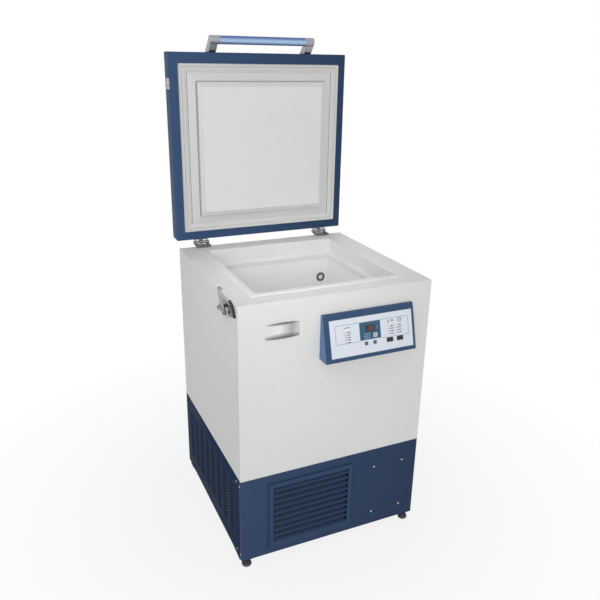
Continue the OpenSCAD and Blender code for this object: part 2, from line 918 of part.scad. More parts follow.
// Sheet shroud with a round duct for the fan and three arms for its motor
module fan_shroud() {
    color("slategray") {
        difference() {
            span([cond_x - cond_w / 2, shroud_y, cond_z - 2], [cond_x + cond_w / 2, shroud_y + shroud_t, cond_z + cond_h]);
            rod_y([cond_x, shroud_y - 1, fan_z], fan_r + 3, shroud_t + 2);
        }
        difference() {
            rod_y([cond_x, shroud_y, fan_z], fan_r + 5, duct_l);
            rod_y([cond_x, shroud_y - 1, fan_z], fan_r + 3, duct_l + 2);
        }
        for (a = [90, 210, 330]) translate([cond_x, 0, fan_z]) rotate([0, a, 0]) {
            span([fan_r + 3.5, shroud_y + 1, -5], [fan_r + 8, motor_y + 12, 5]);
            span([motor_r, motor_y + 8, -5], [fan_r + 8, motor_y + 12, 5]);
        }
    }
}

module fan_motor() {
    color("dimgray") difference() {
        translate([cond_x, motor_y, fan_z]) rotate([-90, 0, 0]) can(motor_r, motor_l, 5);
        rod_y([cond_x, motor_y - 1, fan_z], shaft_r + run, 22);
    }
}

// Axial fan with pitched blades on a hub, turning with its shaft
module fan_blade() {
    color("black") translate([cond_x, fan_y, fan_z]) rotate([-90, 0, 0]) {
        cylinder(r = hub_r, h = hub_l);
        cylinder(r = shaft_r, h = hub_l + 6 + 19);
        intersection() {
            cylinder(r = fan_r, h = hub_l);
            for (i = [0:fan_blades - 1]) rotate([0, 0, 360 / fan_blades * i]) {
                translate([0, 0, hub_l / 2]) rotate([24, 0, 0]) span([hub_r - 4, -28, -1], [fan_r + 4, 28, 1]);
            }
        }
    }
}

// Cascade heat exchanger between the two refrigerant stages, a plate pack with stubs
module heat_exchanger() {
    color("darkgray") translate([hx_x, hx_y, hx_z]) {
        span([-hx[0] / 2, -hx[1] / 2, 0], [hx[0] / 2, hx[1] / 2, hx[2]]);
        for (x = [-20, 20], y = [-16, 16]) translate([x, y, hx[2] - 1]) cylinder(r = pipe_r + 1.5, h = 16);
    }
}

module expansion_tank() {
    color("dimgray") translate([tank_x, tank_y, pan_top]) {
        can(tank_r, tank_h, 20);
        cylinder(r = pipe_r + 1.5, h = tank_h + 14);
    }
}

// Copper lines of the two stages, each from one flat stub to another
module refrigerant_pipes() {
    stub = cond_y + cond_t / 2;
    cond_top = cond_z + cond_h + 10;
    in_x = cond_x + cond_w / 2 - 20;
    out_x = cond_x - cond_w / 2 + 20;
    hx_top = hx_z + hx[2] + 15;
    tank_top = pan_top + tank_h + 14;
    first = comp_x[0];
    second = comp_x[1];
    color("peru") {
        pipe([[first + stub_x, comp_y, comp_top], [first + stub_x, comp_y, run_high],
            [in_x, comp_y, run_high], [in_x, stub, run_high], [in_x, stub, cond_top]], pipe_r);
        pipe([[out_x, stub, cond_top], [out_x, stub, run_low], [out_x, stub + 75, run_low],
            [hx_x - 20, stub + 75, run_low], [hx_x - 20, hx_y - 16, run_low], [hx_x - 20, hx_y - 16, hx_top]], pipe_r);
        pipe([[second + stub_x, comp_y, comp_top], [second + stub_x, comp_y, run_low - 22],
            [second + stub_x, hx_y + 16, run_low - 22], [hx_x - 20, hx_y + 16, run_low - 22],
            [hx_x - 20, hx_y + 16, hx_top]], pipe_r);
        pipe([[hx_x + 20, hx_y - 16, hx_top], [hx_x + 20, hx_y - 16, run_low],
            [tank_x, hx_y - 16, run_low], [tank_x, tank_y, run_low], [tank_x, tank_y, tank_top]], pipe_r);
        pipe([[first - stub_x, comp_y, comp_top], [first - stub_x, comp_y, run_low],
            [riser_x, riser_y, run_low], [riser_x, riser_y, z_split - 12]], pipe_r);
    }
}

// Steel box for the mains and control gear, with its lid and a row of terminals inside
module electrical_box() {
    w = box_size[0];
    d = box_size[1];
    h = box_size[2];
    color("lightgray") translate([box_x - w / 2, box_y, box_z]) {
        difference() {
            cube([w, d, h]);
            translate([2, 2, 2]) cube([w - 4, d - 4, h - 4]);
        }
        span([20, 1, 40], [w - 20, 12, 60]);
        span([20, 1, 90], [w / 2 - 6, 40, 140]);
    }
}

// Places the children on the sloping face of the control panel
module on_face() {
    translate([0, -hd - panel_low, panel_z]) rotate([-tilt, 0, 0]) children();
}

module face_box(x, z, w, h, y0, y1) {
    span([x - w / 2, y0, z - h / 2], [x + w / 2, y1, z + h / 2]);
}

module control_housing() {
    x0 = panel_x - panel_w / 2;
    x1 = panel_x + panel_w / 2;
    t = panel_wall;
    color("steelblue") difference() {
        along_x(x0, x1) polygon([
            [-hd, panel_z],
            [-hd - panel_low, panel_z],
            [-hd - panel_high, panel_z + panel_h],
            [-hd, panel_z + panel_h]
        ]);
        along_x(x0 + t, x1 - t) polygon([
            [-hd + 1, panel_z + t],
            [-hd - panel_low + t / cos(tilt) + t * tan(tilt), panel_z + t],
            [-hd - panel_high + t / cos(tilt) - t * tan(tilt), panel_z + panel_h - t],
            [-hd + 1, panel_z + panel_h - t]
        ]);
        on_face() {
            face_box(face_x, face_low + face_h / 2, face_w, face_h, -1, face_t);
            face_box(face_x, face_low + face_h / 2, face_w - 12, face_h - 12, -1, 2 * t);
        }
    }
}

// White face with its key holes, rocker wells and the posts for the board
module control_face() {
    hole = key_w + 2 * gap;
    rim = 2.5;
    color("aliceblue") on_face() difference() {
        union() {
            face_box(face_x, face_low + face_h / 2, face_w, face_h, 0, face_t);
            for (x = rock_xs) face_box(x, key_z, rock_w + 2 * rim, rock_h + 2 * rim, -0.8, 11);
            for (sx = [-1, 1], sz = [0, 1]) {
                rod_y([face_x + sx * (face_w / 2 - 14), face_t - 0.5, face_low + 14 + sz * (face_h - 28)],
                    3.5, post_l + 0.5);
            }
        }
        for (x = key_xs) face_box(x, key_z, hole, hole, -1, face_t + 1);
        face_box(set_x, set_z, set_w + 2 * gap, set_w + 2 * gap, -1, face_t + 1);
        face_box(block_x, window_z + window_h / 2, window_w, window_h, -1, face_t + 1);
        for (x = rock_xs) {
            face_box(x, key_z, rock_w + 2 * gap, rock_h + 2 * gap, -2, 12);
            for (s = [-1, 1]) translate([x, 5, key_z]) cylinder(r = rock_pin + run, h = rock_h + 2, center = true);
        }
        for (p = lamp_places()) rod_y([p[0], -1, p[1]], lamp_r, face_t + 2);
    }
}

// Teal overlay round the display window
module display_overlay() {
    color("teal") on_face() difference() {
        face_box(block_x, block_z + block_h / 2, block_w, block_h, -block_t, 0);
        face_box(block_x, window_z + window_h / 2, window_w, window_h, -block_t - 1, 1);
        face_box(set_x, set_z, set_w + 2 * gap, set_w + 2 * gap, -block_t - 1, 1);
    }
}

module display_window() {
    color("maroon") on_face() {
        face_box(block_x, window_z + window_h / 2, window_w, window_h, -block_t / 2, face_t + 1);
        face_box(block_x, window_z + window_h / 2, window_w + 6, window_h + 6, face_t + 1, board_y);
    }
}

// Places of the small lamps: one column on the left and two on the right
function lamp_places() = concat(
    [for (i = [0:4]) [face_x - lamp_left, lamp_low + lamp_step * i]],
    [for (i = [0:3]) [face_x + lamp_first, lamp_up + lamp_pitch * i]],
    [for (i = [0:3]) [face_x + lamp_second, lamp_up + lamp_pitch * i]]);

module indicator_lamps() {
    color("red") on_face() for (p = lamp_places()) rod_y([p[0], -lamp_proud, p[1]], lamp_r, face_t + 1);
}

// Circuit board behind the face, with the switches that the keys press
module control_board() {
    switch_top = face_t + key_flange + key_travel + gap;
    color("seagreen") on_face() {
        face_box(face_x, face_low + face_h / 2, face_w - 16, face_h - 16, board_y, board_y + board_t);
        for (x = key_xs) face_box(x, key_z, 6, 6, switch_top, board_y + 0.2);
        face_box(set_x, set_z, 6, 6, switch_top, board_y + 0.2);
        face_box(face_x - 90, 60, 40, 30, board_y, board_y + 10);
    }
}

// Key that slides through the face, with a flange behind it
module key(x, z, w, proud) {
    on_face() {
        face_box(x, z, w, w, -proud, face_t + 0.5);
        face_box(x, z, w + 4, w + 4, face_t + gap, face_t + key_flange);
    }
}

module set_key() {
    color("mistyrose") key(set_x, set_z, set_w, 2.6);
}

module left_key() {
    color("teal") key(key_xs[0], key_z, key_w, 1.8);
}

module right_key() {
    color("teal") key(key_xs[1], key_z, key_w, 1.8);
}

// Rocker on a pin, tipped to its left; its two faces meet in a shallow valley
module rocker(x) {
    half = rock_w / 2 - 1.6;
    hh = rock_h / 2 - 0.5;
    color("black") on_face() translate([x, 5, key_z]) rotate([0, 0, rock_deg / 2]) {
        translate([0, 0, -hh]) linear_extrude(2 * hh) polygon([
            [-half, -6.6],
            [0, -5],
            [half, -6.6],
            [half - 1, 0],
            [4, 4],
            [-4, 4],
            [-half + 1, 0]
        ]);
        cylinder(r = rock_pin, h = rock_h + 1.6, center = true);
    }
}

module left_rocker() {
    rocker(rock_xs[0]);
}

module right_rocker() {
    rocker(rock_xs[1]);
}

// Bare plate with bowed upper and lower edges
module badge_plate() {
    bow = 260;
    color("silver") translate([badge_x, -hd, badge_z]) rotate([90, 0, 0]) linear_extrude(badge_t) {
        intersection() {
            square([badge_w, badge_h], center = true);
            translate([0, badge_h / 2 - bow]) circle(bow, $fn = 180);
            translate([0, bow - badge_h / 2]) circle(bow, $fn = 180);
        }
    }
}

// Ranges along X of a hinge's outer knuckles and of its middle knuckle, about its own middle
function outer_knuckles() = [[-hinge_w / 2, knuckle_w - hinge_w / 2], [hinge_w / 2 - knuckle_w, hinge_w / 2]];
function middle_knuckle() = [-hinge_w / 2 + knuckle_w + hinge_gap, hinge_w / 2 - knuckle_w - hinge_gap];

module each_hinge() {
    for (s = [-1, 1]) translate([s * hinge_x, 0, 0]) children();
}

module cabinet_hinge_leaves() {
    color("silver") each_hinge() difference() {
        union() {
            span([-hinge_w / 2, hd, z_top - leaf_down], [hinge_w / 2, hd + leaf_t, axis_z - arm_high]);
            span([-hinge_w / 2, hd - hinge_pad, z_top], [hinge_w / 2, hd + leaf_t, z_top + leaf_t]);
            for (k = outer_knuckles()) {
                span([k[0], hd - hinge_pad, axis_z - arm_low], [k[1], axis_y, axis_z - arm_high]);
                rod_x([k[0], axis_y, axis_z], knuckle_r, k[1] - k[0]);
            }
        }
        for (k = outer_knuckles()) rod_x([k[0] - 1, axis_y, axis_z], pin_r + run, k[1] - k[0] + 2);
    }
}

module lid_hinge_leaves() {
    k = middle_knuckle();
    color("silver") each_hinge() difference() {
        union() {
            span([-hinge_w / 2, axis_y + 2.5, lid_z0 - leaf_t], [hinge_w / 2, axis_y + leaf_up, lid_z0]);
            span([k[0], axis_y + 2.5, axis_z + 2], [k[1], axis_y + knuckle_r, lid_z0 - 1]);
            rod_x([k[0], axis_y, axis_z], knuckle_r, k[1] - k[0]);
        }
        rod_x([k[0] - 1, axis_y, axis_z], pin_r + run, k[1] - k[0] + 2);
    }
}

module hinge_pins() {
    color("darkgray") each_hinge() {
        rod_x([-hinge_w / 2 - 1.5, axis_y, axis_z], pin_r, hinge_w + 3);
        for (x = [-hinge_w / 2 - 3, hinge_w / 2]) rod_x([x, axis_y, axis_z], pin_r + 1.5, 3);
    }
}

// Points of one ring of a spring's wire, at turn angle a and place x along the pin
function wire_ring(a, x) = [for (k = [0:5]) let (b = 60 * k, r = spring_r + spring_wire * cos(b))
    [x + spring_wire * sin(b), r * cos(a), r * sin(a)]];

// Coil round the hinge pin, swept as one closed surface
module hinge_spring(x0, x1) {
    steps = 12 * spring_turns;
    lead = (x1 - x0 - 2 * spring_wire) / steps;
    points = [for (i = [0:steps]) each wire_ring(30 * i, x0 + spring_wire + lead * i)];
    sides = [for (i = [0:steps - 1], k = [0:5])
        [6 * i + k, 6 * i + (k + 1) % 6, 6 * i + 6 + (k + 1) % 6, 6 * i + 6 + k]];
    ends = [[5, 4, 3, 2, 1, 0], [for (k = [0:5]) 6 * steps + k]];
    translate([0, axis_y, axis_z]) polyhedron(points, concat(sides, ends));
}

module hinge_springs() {
    k = outer_knuckles();
    m = middle_knuckle();
    color("gray") each_hinge() {
        hinge_spring(k[0][1] + gap, m[0] - gap);
        hinge_spring(m[1] + gap, k[1][0] - gap);
    }
}

// Latch body on the cabinet's left side: plate, two lugs, pivot pin and a block with an eye
module latch_base() {
    y0 = -latch_y - latch_w / 2 - lug_t - gap;
    y1 = -latch_y + latch_w / 2 + gap;
    color("silver") {
        difference() {
            union() {
                span([-hw - 3, y0 - 26, latch_z - 24], [-hw, y1 + lug_t, latch_z + 26]);
                for (y = [y0, y1]) {
                    span([latch_x, y, latch_z - barrel_r], [-hw - 2, y + lug_t, latch_z + barrel_r]);
                    rod_y([latch_x, y, latch_z], barrel_r, lug_t);
                }
                span([-hw - 14, eye_y - 10, latch_z - 6], [-hw - 2, eye_y + 10, latch_z + 22]);
            }
            rod_y([latch_x, y0 - 1, latch_z], pin_r + run, y1 + lug_t - y0 + 2);
            rod_y([-hw - 8, eye_y - 11, latch_z + 8], 3, 22);
        }
        rod_y([latch_x, y0 - 1.5, latch_z], pin_r, y1 + lug_t - y0 + 3);
        rod_y([latch_x, y0 - 3, latch_z], pin_r + 2, 3);
    }
}

// Black quarter ring that shields the latch's front
module latch_guard() {
    color("black") translate([-hw, eye_y - 7, latch_z + 4]) rotate([90, 0, -90]) {
        rotate_extrude(angle = 100) translate([guard_r - 2.5, 0]) square([5, 9]);
        rotate([0, 0, 96]) span([guard_r - 5, -5, 0], [guard_r + 5, 5, 4]);
        rotate([0, 0, 4]) span([guard_r - 5, -5, 0], [guard_r + 5, 5, 4]);
    }
}

// Latch arm at rest: it leans away from the side so that the lid's stud passes its hook
module latch_arm() {
    back = latch_w / 2;
    color("silver") translate([latch_x, -latch_y, latch_z]) rotate([0, -latch_lean, 0]) difference() {
        union() {
            rod_y([0, -back, 0], barrel_r, latch_w);
            along_x(-arm_out, arm_in) polygon([
                [-back, 0],
                [back, 0],
                [back, hook_z + hook_t],
                [back - hook_w, hook_z + hook_t]
            ]);
            span([arm_in - 1, back - hook_w, hook_z], [arm_in + hook_l, back, hook_z + hook_t]);
        }
        rod_y([0, -back - 1, 0], pin_r + run, latch_w + 2);
    }
}

// Blue lid tray: outer skin and side walls, with a frame folded in round the inner pan
module lid_shell() {
    t = sheet;
    h = lid_w / 2;
    fw = seat_hw - frame_in;
    fl = seat_hl - frame_in;
    color("steelblue") difference() {
        span([-h, lid_y, lid_z0], [h, lid_y + lid_t, lid_z1]);
        span([-h + t, lid_y + t, lid_z0 + t], [h - t, lid_y + lid_t - t, lid_z1 - t]);
        span([-fw, lid_y - 1, lid_c - fl], [fw, lid_y + t + 1, lid_c + fl]);
    }
}

// Sloping-sided block that narrows from one rectangle to another in front of the lid
module taper(a0, b0, y0, a1, b1, y1) {
    hull() {
        translate([-a0, y0 - 0.01, lid_c - b0]) cube([2 * a0, 0.01, 2 * b0]);
        translate([-a1, y1, lid_c - b1]) cube([2 * a1, 0.01, 2 * b1]);
    }
}

module lid_foam() {
    t = sheet;
    h = lid_w / 2;
    a = plug_w - pan_t - gap;
    b = plug_l - pan_t - gap;
    color("khaki") {
        span([-h + t, lid_y + t, lid_z0 + t], [h - t, lid_y + lid_t - t, lid_z1 - t]);
        span([-a, plug_y + pan_t + gap, lid_c - b], [a, lid_y + t + 1, lid_c + b]);
    }
}

// The solid outline of the inner pan, or of its hollow when every face is set back by t
module pan_form(t) {
    skirt = lid_y - pan_t + t;
    shelf = plug_y + lid_gap + plug_drop - edge_lift + t;
    taper(seat_hw - gap - t, seat_hl - gap - t, lid_y + t, seat_hw - gap - t, seat_hl - gap - t, skirt);
    taper(seat_hw - margin, seat_hl - margin, skirt, plug_w + 3, plug_l + 3, shelf);
    taper(plug_w - t, plug_l - t, lid_y + t, plug_w - t, plug_l - t, plug_y + t);
    taper(plug_w - t, plug_l - t, plug_y + t, plug_w - plug_band - t, plug_l - plug_band - t, mid_y + t);
}

// White inner pan: flat seat inside the gasket, sloping shelf, plug wall, sloping border, flat middle
module lid_liner() {
    color("white") difference() {
        pan_form(0);
        pan_form(pan_t);
        span([-seat_hw, lid_y, lid_c - seat_hl], [seat_hw, lid_y + lid_t, lid_c + seat_hl]);
    }
}

// Magnetic gasket: base strip, two soft ridges and the magnet's bead
module lid_gasket() {
    y = lid_y;
    color("white") for (band = [[0, gasket_w, 5], [1, 10, lid_gap], [14, 23, lid_gap - 3]]) difference() {
        o = band[0];
        i = band[1];
        span([-gasket_hw + o, y - band[2], lid_c - gasket_hl + o], [gasket_hw - o, y, lid_c + gasket_hl - o]);
        span([-gasket_hw + i, y - band[2] - 1, lid_c - gasket_hl + i],
            [gasket_hw - i, y + 1, lid_c + gasket_hl - i]);
    }
}

module handle_tube() {
    color("cornflowerblue") difference() {
        rod_x([-grip_l / 2, grip_y, grip_z], grip_r, grip_l);
        rod_x([-grip_l / 2 - 1, grip_y, grip_z], spigot_r, grip_l + 2);
    }
}

// Two metal end caps, each with a spigot in the tube and an arm down to the lid's edge
module handle_brackets() {
    lean = grip_y - foot_mid;
    color("silver") for (s = [-1, 1]) scale_xy(s, 1) {
        rod_x([grip_l / 2, grip_y, grip_z], cap_r, cap_l);
        rod_x([grip_l / 2 - spigot_l, grip_y, grip_z], spigot_r, spigot_l + 1);
        along_x(grip_l / 2 + cap_l - arm_w, grip_l / 2 + cap_l) polygon([
            [foot_mid - grip_foot / 2, lid_z1],
            [foot_mid + grip_foot / 2, lid_z1],
            [foot_mid + grip_foot / 2, lid_z1 + 4],
            [grip_y + cap_r * cos(50), grip_z + cap_r * sin(50)],
            [grip_y - cap_r * cos(10), grip_z - cap_r * sin(10)],
            [foot_mid - grip_foot / 2 + lean / 4, lid_z1 + 8]
        ]);
    }
}

// Keeper on the lid's left side: plate and the stud that the latch hooks
module lid_keeper() {
    x = -lid_w / 2;
    color("silver") {
        span([x - keeper_t, lid_y + 1, keeper_up - 12], [x, lid_y + 40, keeper_up + 28]);
        rod_x([x - keeper_stud_l, keeper_y, keeper_up], keeper_stud_r, keeper_stud_l);
        rod_x([x - keeper_t - 2, keeper_y, keeper_up], keeper_stud_r + keeper_boss, 3);
    }
}

outer_shell();
rear_panel();
opening_collar();
inner_liner();
foam_insulation();
evaporator_coil();
port_sleeve();
port_plug();
base_pan();
foot_brackets();
foot_front_left();
foot_front_right();
foot_rear_left();
foot_rear_right();
deck_frame();
base_front_panel();
louvre_grille();
air_filter();
service_panel();
left_side_panel();
right_side_panel();
rear_cover();
power_inlet();
panel_screws();
compressor_first();
compressor_second();
condenser();
fan_shroud();
fan_motor();
fan_blade();
heat_exchanger();
expansion_tank();
refrigerant_pipes();
electrical_box();
control_housing();
control_face();
display_overlay();
display_window();
indicator_lamps();
control_board();
set_key();
left_key();
right_key();
left_rocker();
right_rocker();
badge_plate();
cabinet_hinge_leaves();
hinge_pins();
hinge_springs();
latch_base();
latch_guard();
latch_arm();
lid_shell();
lid_foam();
lid_liner();
lid_gasket();
handle_tube();
handle_brackets();
lid_hinge_leaves();
lid_keeper();
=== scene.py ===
# %% [markdown]
# # A chest freezer with its lid standing open
# The solids of the freezer come in as a fixed frame. This lesson dresses them: most visible
# solids get a finer mesh in the same place, and every solid gets a material made of nodes.

# %% Load the frame
import json
import math

import bmesh
import bpy
from mathutils import Matrix, Vector


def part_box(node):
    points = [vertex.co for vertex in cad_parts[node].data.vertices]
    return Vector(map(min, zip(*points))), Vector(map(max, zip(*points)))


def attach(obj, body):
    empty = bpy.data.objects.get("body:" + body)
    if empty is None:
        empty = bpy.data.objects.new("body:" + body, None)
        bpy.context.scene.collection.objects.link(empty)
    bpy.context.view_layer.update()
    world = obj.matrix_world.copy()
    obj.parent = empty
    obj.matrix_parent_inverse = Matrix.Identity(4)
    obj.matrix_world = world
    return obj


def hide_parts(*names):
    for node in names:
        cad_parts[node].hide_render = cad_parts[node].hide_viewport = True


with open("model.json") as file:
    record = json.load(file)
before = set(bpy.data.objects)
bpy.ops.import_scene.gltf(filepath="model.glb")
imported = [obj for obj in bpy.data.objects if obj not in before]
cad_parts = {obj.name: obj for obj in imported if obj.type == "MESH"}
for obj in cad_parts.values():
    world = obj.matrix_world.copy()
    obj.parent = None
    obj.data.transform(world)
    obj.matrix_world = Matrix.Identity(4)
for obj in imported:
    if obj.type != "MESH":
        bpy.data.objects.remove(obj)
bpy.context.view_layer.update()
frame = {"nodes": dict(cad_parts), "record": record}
body_of_node = {n: b for b, nodes in frame["record"]["behaviour"]["bodies"].items() for n in nodes}

# %% [markdown]
# ## The camera
# The photograph was taken from the left, a little above the lid's hinge. A box whose edges all
# meet at right angles fixes the place, the turn and the lens, so they are written here as found.

# %% Camera
CAMERA_AT = Vector((-0.9810, -2.1578, 1.7698))
HEADING, TILT, ROLL, LENS = -24.73, -20.52, 1.055, 39.17

camera = bpy.data.objects.new("camera", bpy.data.cameras.new("camera"))
camera.data.lens = LENS
camera.matrix_world = (
    Matrix.Translation(CAMERA_AT)
    @ Matrix.Rotation(math.radians(HEADING), 4, "Z")
    @ Matrix.Rotation(math.radians(90 + TILT), 4, "X")
    @ Matrix.Rotation(math.radians(ROLL), 4, "Z")
)
bpy.context.collection.objects.link(camera)
bpy.context.scene.camera = camera
print("camera", [round(c, 3) for c in camera.location])

# %% [markdown]
# ## Writing shaders as sums
# A node tree is easier to read as arithmetic. A Wire holds one socket, and Python's operators on
# it add the Math nodes, from either side, so 1 - mask works too. Every node is made by one
# function that takes its settings first and then the values or links of its sockets.


# %% Wire
def feed(tree, value, socket):
    """Links a Wire to a socket, or writes a plain value on it."""
    if isinstance(value, Wire):
        tree.links.new(value.socket, socket)
    else:
        socket.default_value = value


def add_node(tree, kind, settings, sockets):
    """Adds a node: its settings first, then the values or links of its sockets."""
    node = tree.nodes.new("ShaderNode" + kind)
    for name, value in settings.items():
        if name == "stops":
            set_stops(node.color_ramp, value)
        else:
            setattr(node, name, value)
    for name, value in sockets.items():
        feed(tree, value, node.inputs[name])
    return node


def set_stops(ramp, stops):
    while len(ramp.elements) < len(stops):
        ramp.elements.new(0.5)
    for element, (at, level) in zip(ramp.elements, stops):
        element.position, element.color = at, (level, level, level, 1)


class Wire:
    def __init__(self, tree, socket):
        self.tree, self.socket = tree, socket

    def maths(self, operation, *values):
        node = add_node(self.tree, "Math", {"operation": operation}, dict(enumerate(values)))
        return Wire(self.tree, node.outputs[0])

    def __add__(self, other):
        return self.maths("ADD", self, other)

    def __sub__(self, other):
        return self.maths("SUBTRACT", self, other)

    def __rsub__(self, other):
        return self.maths("SUBTRACT", other, self)

    def __mul__(self, other):
        return self.maths("MULTIPLY", self, other)

    def __truediv__(self, other):
        return self.maths("DIVIDE", self, other)

    def __pow__(self, other):
        return self.maths("POWER", self, other)

    __radd__, __rmul__ = __add__, __mul__

    def held(self):
        """The value, kept between 0 and 1."""
        return self.maths("MINIMUM", self.maths("MAXIMUM", self, 0.0), 1.0)


print("sockets can be added up")

# %% [markdown]
# ## One object for each material
# A Finish owns a material and its main shader. Its methods give the patterns that real surfaces
# are made of here: a place on the object, a noise, a ramp, a blend of two colours and a relief.
# Patterns read the object's own metres, so a grain keeps its real size on every piece.


# %% Finish
class Finish:
    def __init__(self, name, colour, **constants):
        self.material = bpy.data.materials.new(name)
        self.material.use_nodes = True
        self.tree = self.material.node_tree
        self.shader = self.tree.nodes["Principled BSDF"]
        self.material.diffuse_color = colour
        self.surface(Base_Color=colour, **constants)

    def surface(self, **sockets):
        for name, value in sockets.items():
            feed(self.tree, value, self.shader.inputs[name.replace("_", " ")])

    def add(self, kind, output=0, settings=None, inputs=None, **sockets):
        named = {name.replace("_", " "): value for name, value in sockets.items()}
        node = add_node(self.tree, kind, settings or {}, inputs or named)
        return Wire(self.tree, node.outputs[output])

    def place(self, stretch=(1, 1, 1)):
        """The point on the object in metres, stretched for grain that runs one way."""
        return self.add("Mapping", Vector=self.add("TexCoord", output=3), Scale=stretch)

    def axis(self, number):
        """One coordinate of that point: 0 from left to right, 1 from front to back, 2 upwards."""
        return self.add("SeparateXYZ", output=number, Vector=self.place())

    def noise(self, scale, detail=2.0, rough=0.5, stretch=(1, 1, 1)):
        return self.add("TexNoise", Vector=self.place(stretch), Scale=scale, Detail=detail, Roughness=rough)

    def ramp(self, value, *stops):
        """A value turned into other values by (place, level) stops, eased between them."""
        return self.add("ValToRGB", settings={"stops": stops}, inputs={0: value})

    def blend(self, mask, low, high):
        """A colour that goes from low to high as mask goes from 0 to 1."""
        return self.add("Mix", 2, {"data_type": "RGBA"}, {0: mask, 6: low, 7: high})

    def relief(self, height, depth):
        self.surface(Normal=self.add("Bump", Strength=1.0, Distance=depth, Height=height))


def srgb(red, green, blue):
    """A colour read as 0 to 255 on a screen, as the linear values that shaders use."""
    def line(c):
        c /= 255
        return c / 12.92 if c <= 0.04045 else ((c + 0.055) / 1.055) ** 2.4
    return (line(red), line(green), line(blue), 1.0)


def tone(colour, factor):
    """The same colour, lighter or darker."""
    return tuple(min(1.0, c * factor) for c in colour[:3]) + (1.0,)


print("finishes ready")

# %% [markdown]
# ## Paint
# The cabinet and base are sheet steel under powder coat. Baked powder flows into a faint orange
# peel of about two millimetres, and its gloss drifts over a panel. Both are slow noises, and the
# peel is a very shallow bump, so a highlight breaks up softly and the panel still reads as flat.
# The blue faces are painted light: their colour is lighter on the left, where the room is brighter,
# and darker on the right. The grille's coat darkens towards the back of its slots: painted shade.


# %% Powder coat
LIGHT_FALL_WIDTH = 0.74


def orange_peel(coat, grain, depth):
    coat.relief(coat.noise(grain, 2.0) + coat.noise(90, 1.0) * 0.6, depth)


def powder_coat(name, colour, gloss=0.32, peel=0.00004, drift=0.03, grain=420, shine=0.4, fade=0.0):
    """Paint. fade is painted light: how much lighter its left end is, and how much darker its right end."""
    coat = Finish(name, colour, Specular_IOR_Level=shine)
    cloud = coat.noise(3.1, 3.0)
    dust = coat.ramp(coat.noise(38, 5.0, 0.62), (0.52, 0.0), (0.8, 1.0))
    base = coat.blend(cloud, tone(colour, 1 - drift), tone(colour, 1 + drift))
    if fade:
        across = coat.axis(0) / LIGHT_FALL_WIDTH + 0.5
        base = coat.blend(0.8, base, coat.blend(across, tone(colour, 1 + fade), tone(colour, 1 - fade)))
    coat.surface(Base_Color=coat.blend(dust * 0.12, base, tone(colour, 0.86)))
    coat.surface(Roughness=gloss + cloud * 0.08 + dust * 0.06)
    orange_peel(coat, grain, peel)
    return coat.material


NAVY = srgb(57, 74, 104)
white_paint = powder_coat("white_powder_coat", srgb(231, 231, 230), gloss=0.3)
# The navy and lid coats carry painted light: fade makes their left ends lighter and right ends darker.
navy_paint = powder_coat("navy_powder_coat", NAVY, gloss=0.4, drift=0.05, shine=0.03, fade=0.22)
# A darker copy of the navy coat for the blue sides: painted shade.
shaded_side_paint = powder_coat("side_powder_coat", srgb(45, 61, 88), gloss=0.5, drift=0.05, shine=0.01)
lid_paint = powder_coat("lid_powder_coat", srgb(60, 82, 116), gloss=0.4, drift=0.05, shine=0.04, fade=0.28)
housing_paint = powder_coat("housing_paint", srgb(54, 78, 112), gloss=0.36, grain=600, shine=0.2)
# A lighter copy of the housing paint for its end cheeks: painted light.
lit_cheek_paint = powder_coat("housing_cheek_paint", srgb(92, 124, 162), gloss=0.36, grain=600, shine=0.2)
black_paint = powder_coat("black_paint", srgb(26, 26, 28), gloss=0.42, peel=0.00006)
liner_paint = powder_coat("liner_coat", srgb(243, 244, 244), gloss=0.26, peel=0.00003)
# Black cloth for the strips behind the side holes and the grille's slot-end wedges: painted shade.
shade_scrim_stuff = powder_coat("scrim_cloth", srgb(9, 10, 13), gloss=0.8, shine=0.0)
print(len(bpy.data.materials), "paints")

# %% Grille coat
GRILLE_FACE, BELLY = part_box("louvre_grille")[0].y + 0.0006, 0.0094


def grille_coat():
    """The base's paint with painted shade: darker towards the back of the slots."""
    coat = Finish("grille_coat", NAVY, Specular_IOR_Level=0.03)
    recess_shade = coat.ramp((coat.axis(1) - GRILLE_FACE) / BELLY, (0.05, 0.0), (0.95, 1.0))
    coat.surface(Base_Color=coat.blend(recess_shade, tone(NAVY, 1.12), tone(NAVY, 0.58)))
    coat.surface(Roughness=0.42 + coat.noise(3.1) * 0.08)
    orange_peel(coat, 420, 0.00004)
    return coat.material


# The grille's coat is painted shade: its colour darkens towards the back of the slots.
grille_paint = grille_coat()
print("grille's front at", round(GRILLE_FACE, 4))

# %% [markdown]
# ## Plastic and rubber
# Mouldings have a fine spark-eroded grain and gather a little grey where hands and frost touch
# them. Rubber is duller, with a coarser bloom. The same recipe serves both with other numbers.


# %% Mouldings
def moulding(name, colour, rough=0.42, grain=900, depth=0.00003, bloom=0.06, coat=0.0):
    skin = Finish(name, colour, Coat_Weight=coat, Coat_Roughness=0.12)
    patch = skin.noise(9, 4.0, 0.6)
    skin.surface(Base_Color=skin.blend(patch, tone(colour, 1 - bloom), tone(colour, 1 + bloom * 0.6)))
    skin.surface(Roughness=rough - 0.05 + patch * 0.12)
    skin.relief(skin.noise(grain, 3.0), depth)
    return skin.material


collar_plastic = moulding("collar_plastic", srgb(232, 232, 231), rough=0.34, bloom=0.03)
pan_plastic = moulding("lid_pan_plastic", srgb(222, 222, 222), rough=0.4, bloom=0.03)
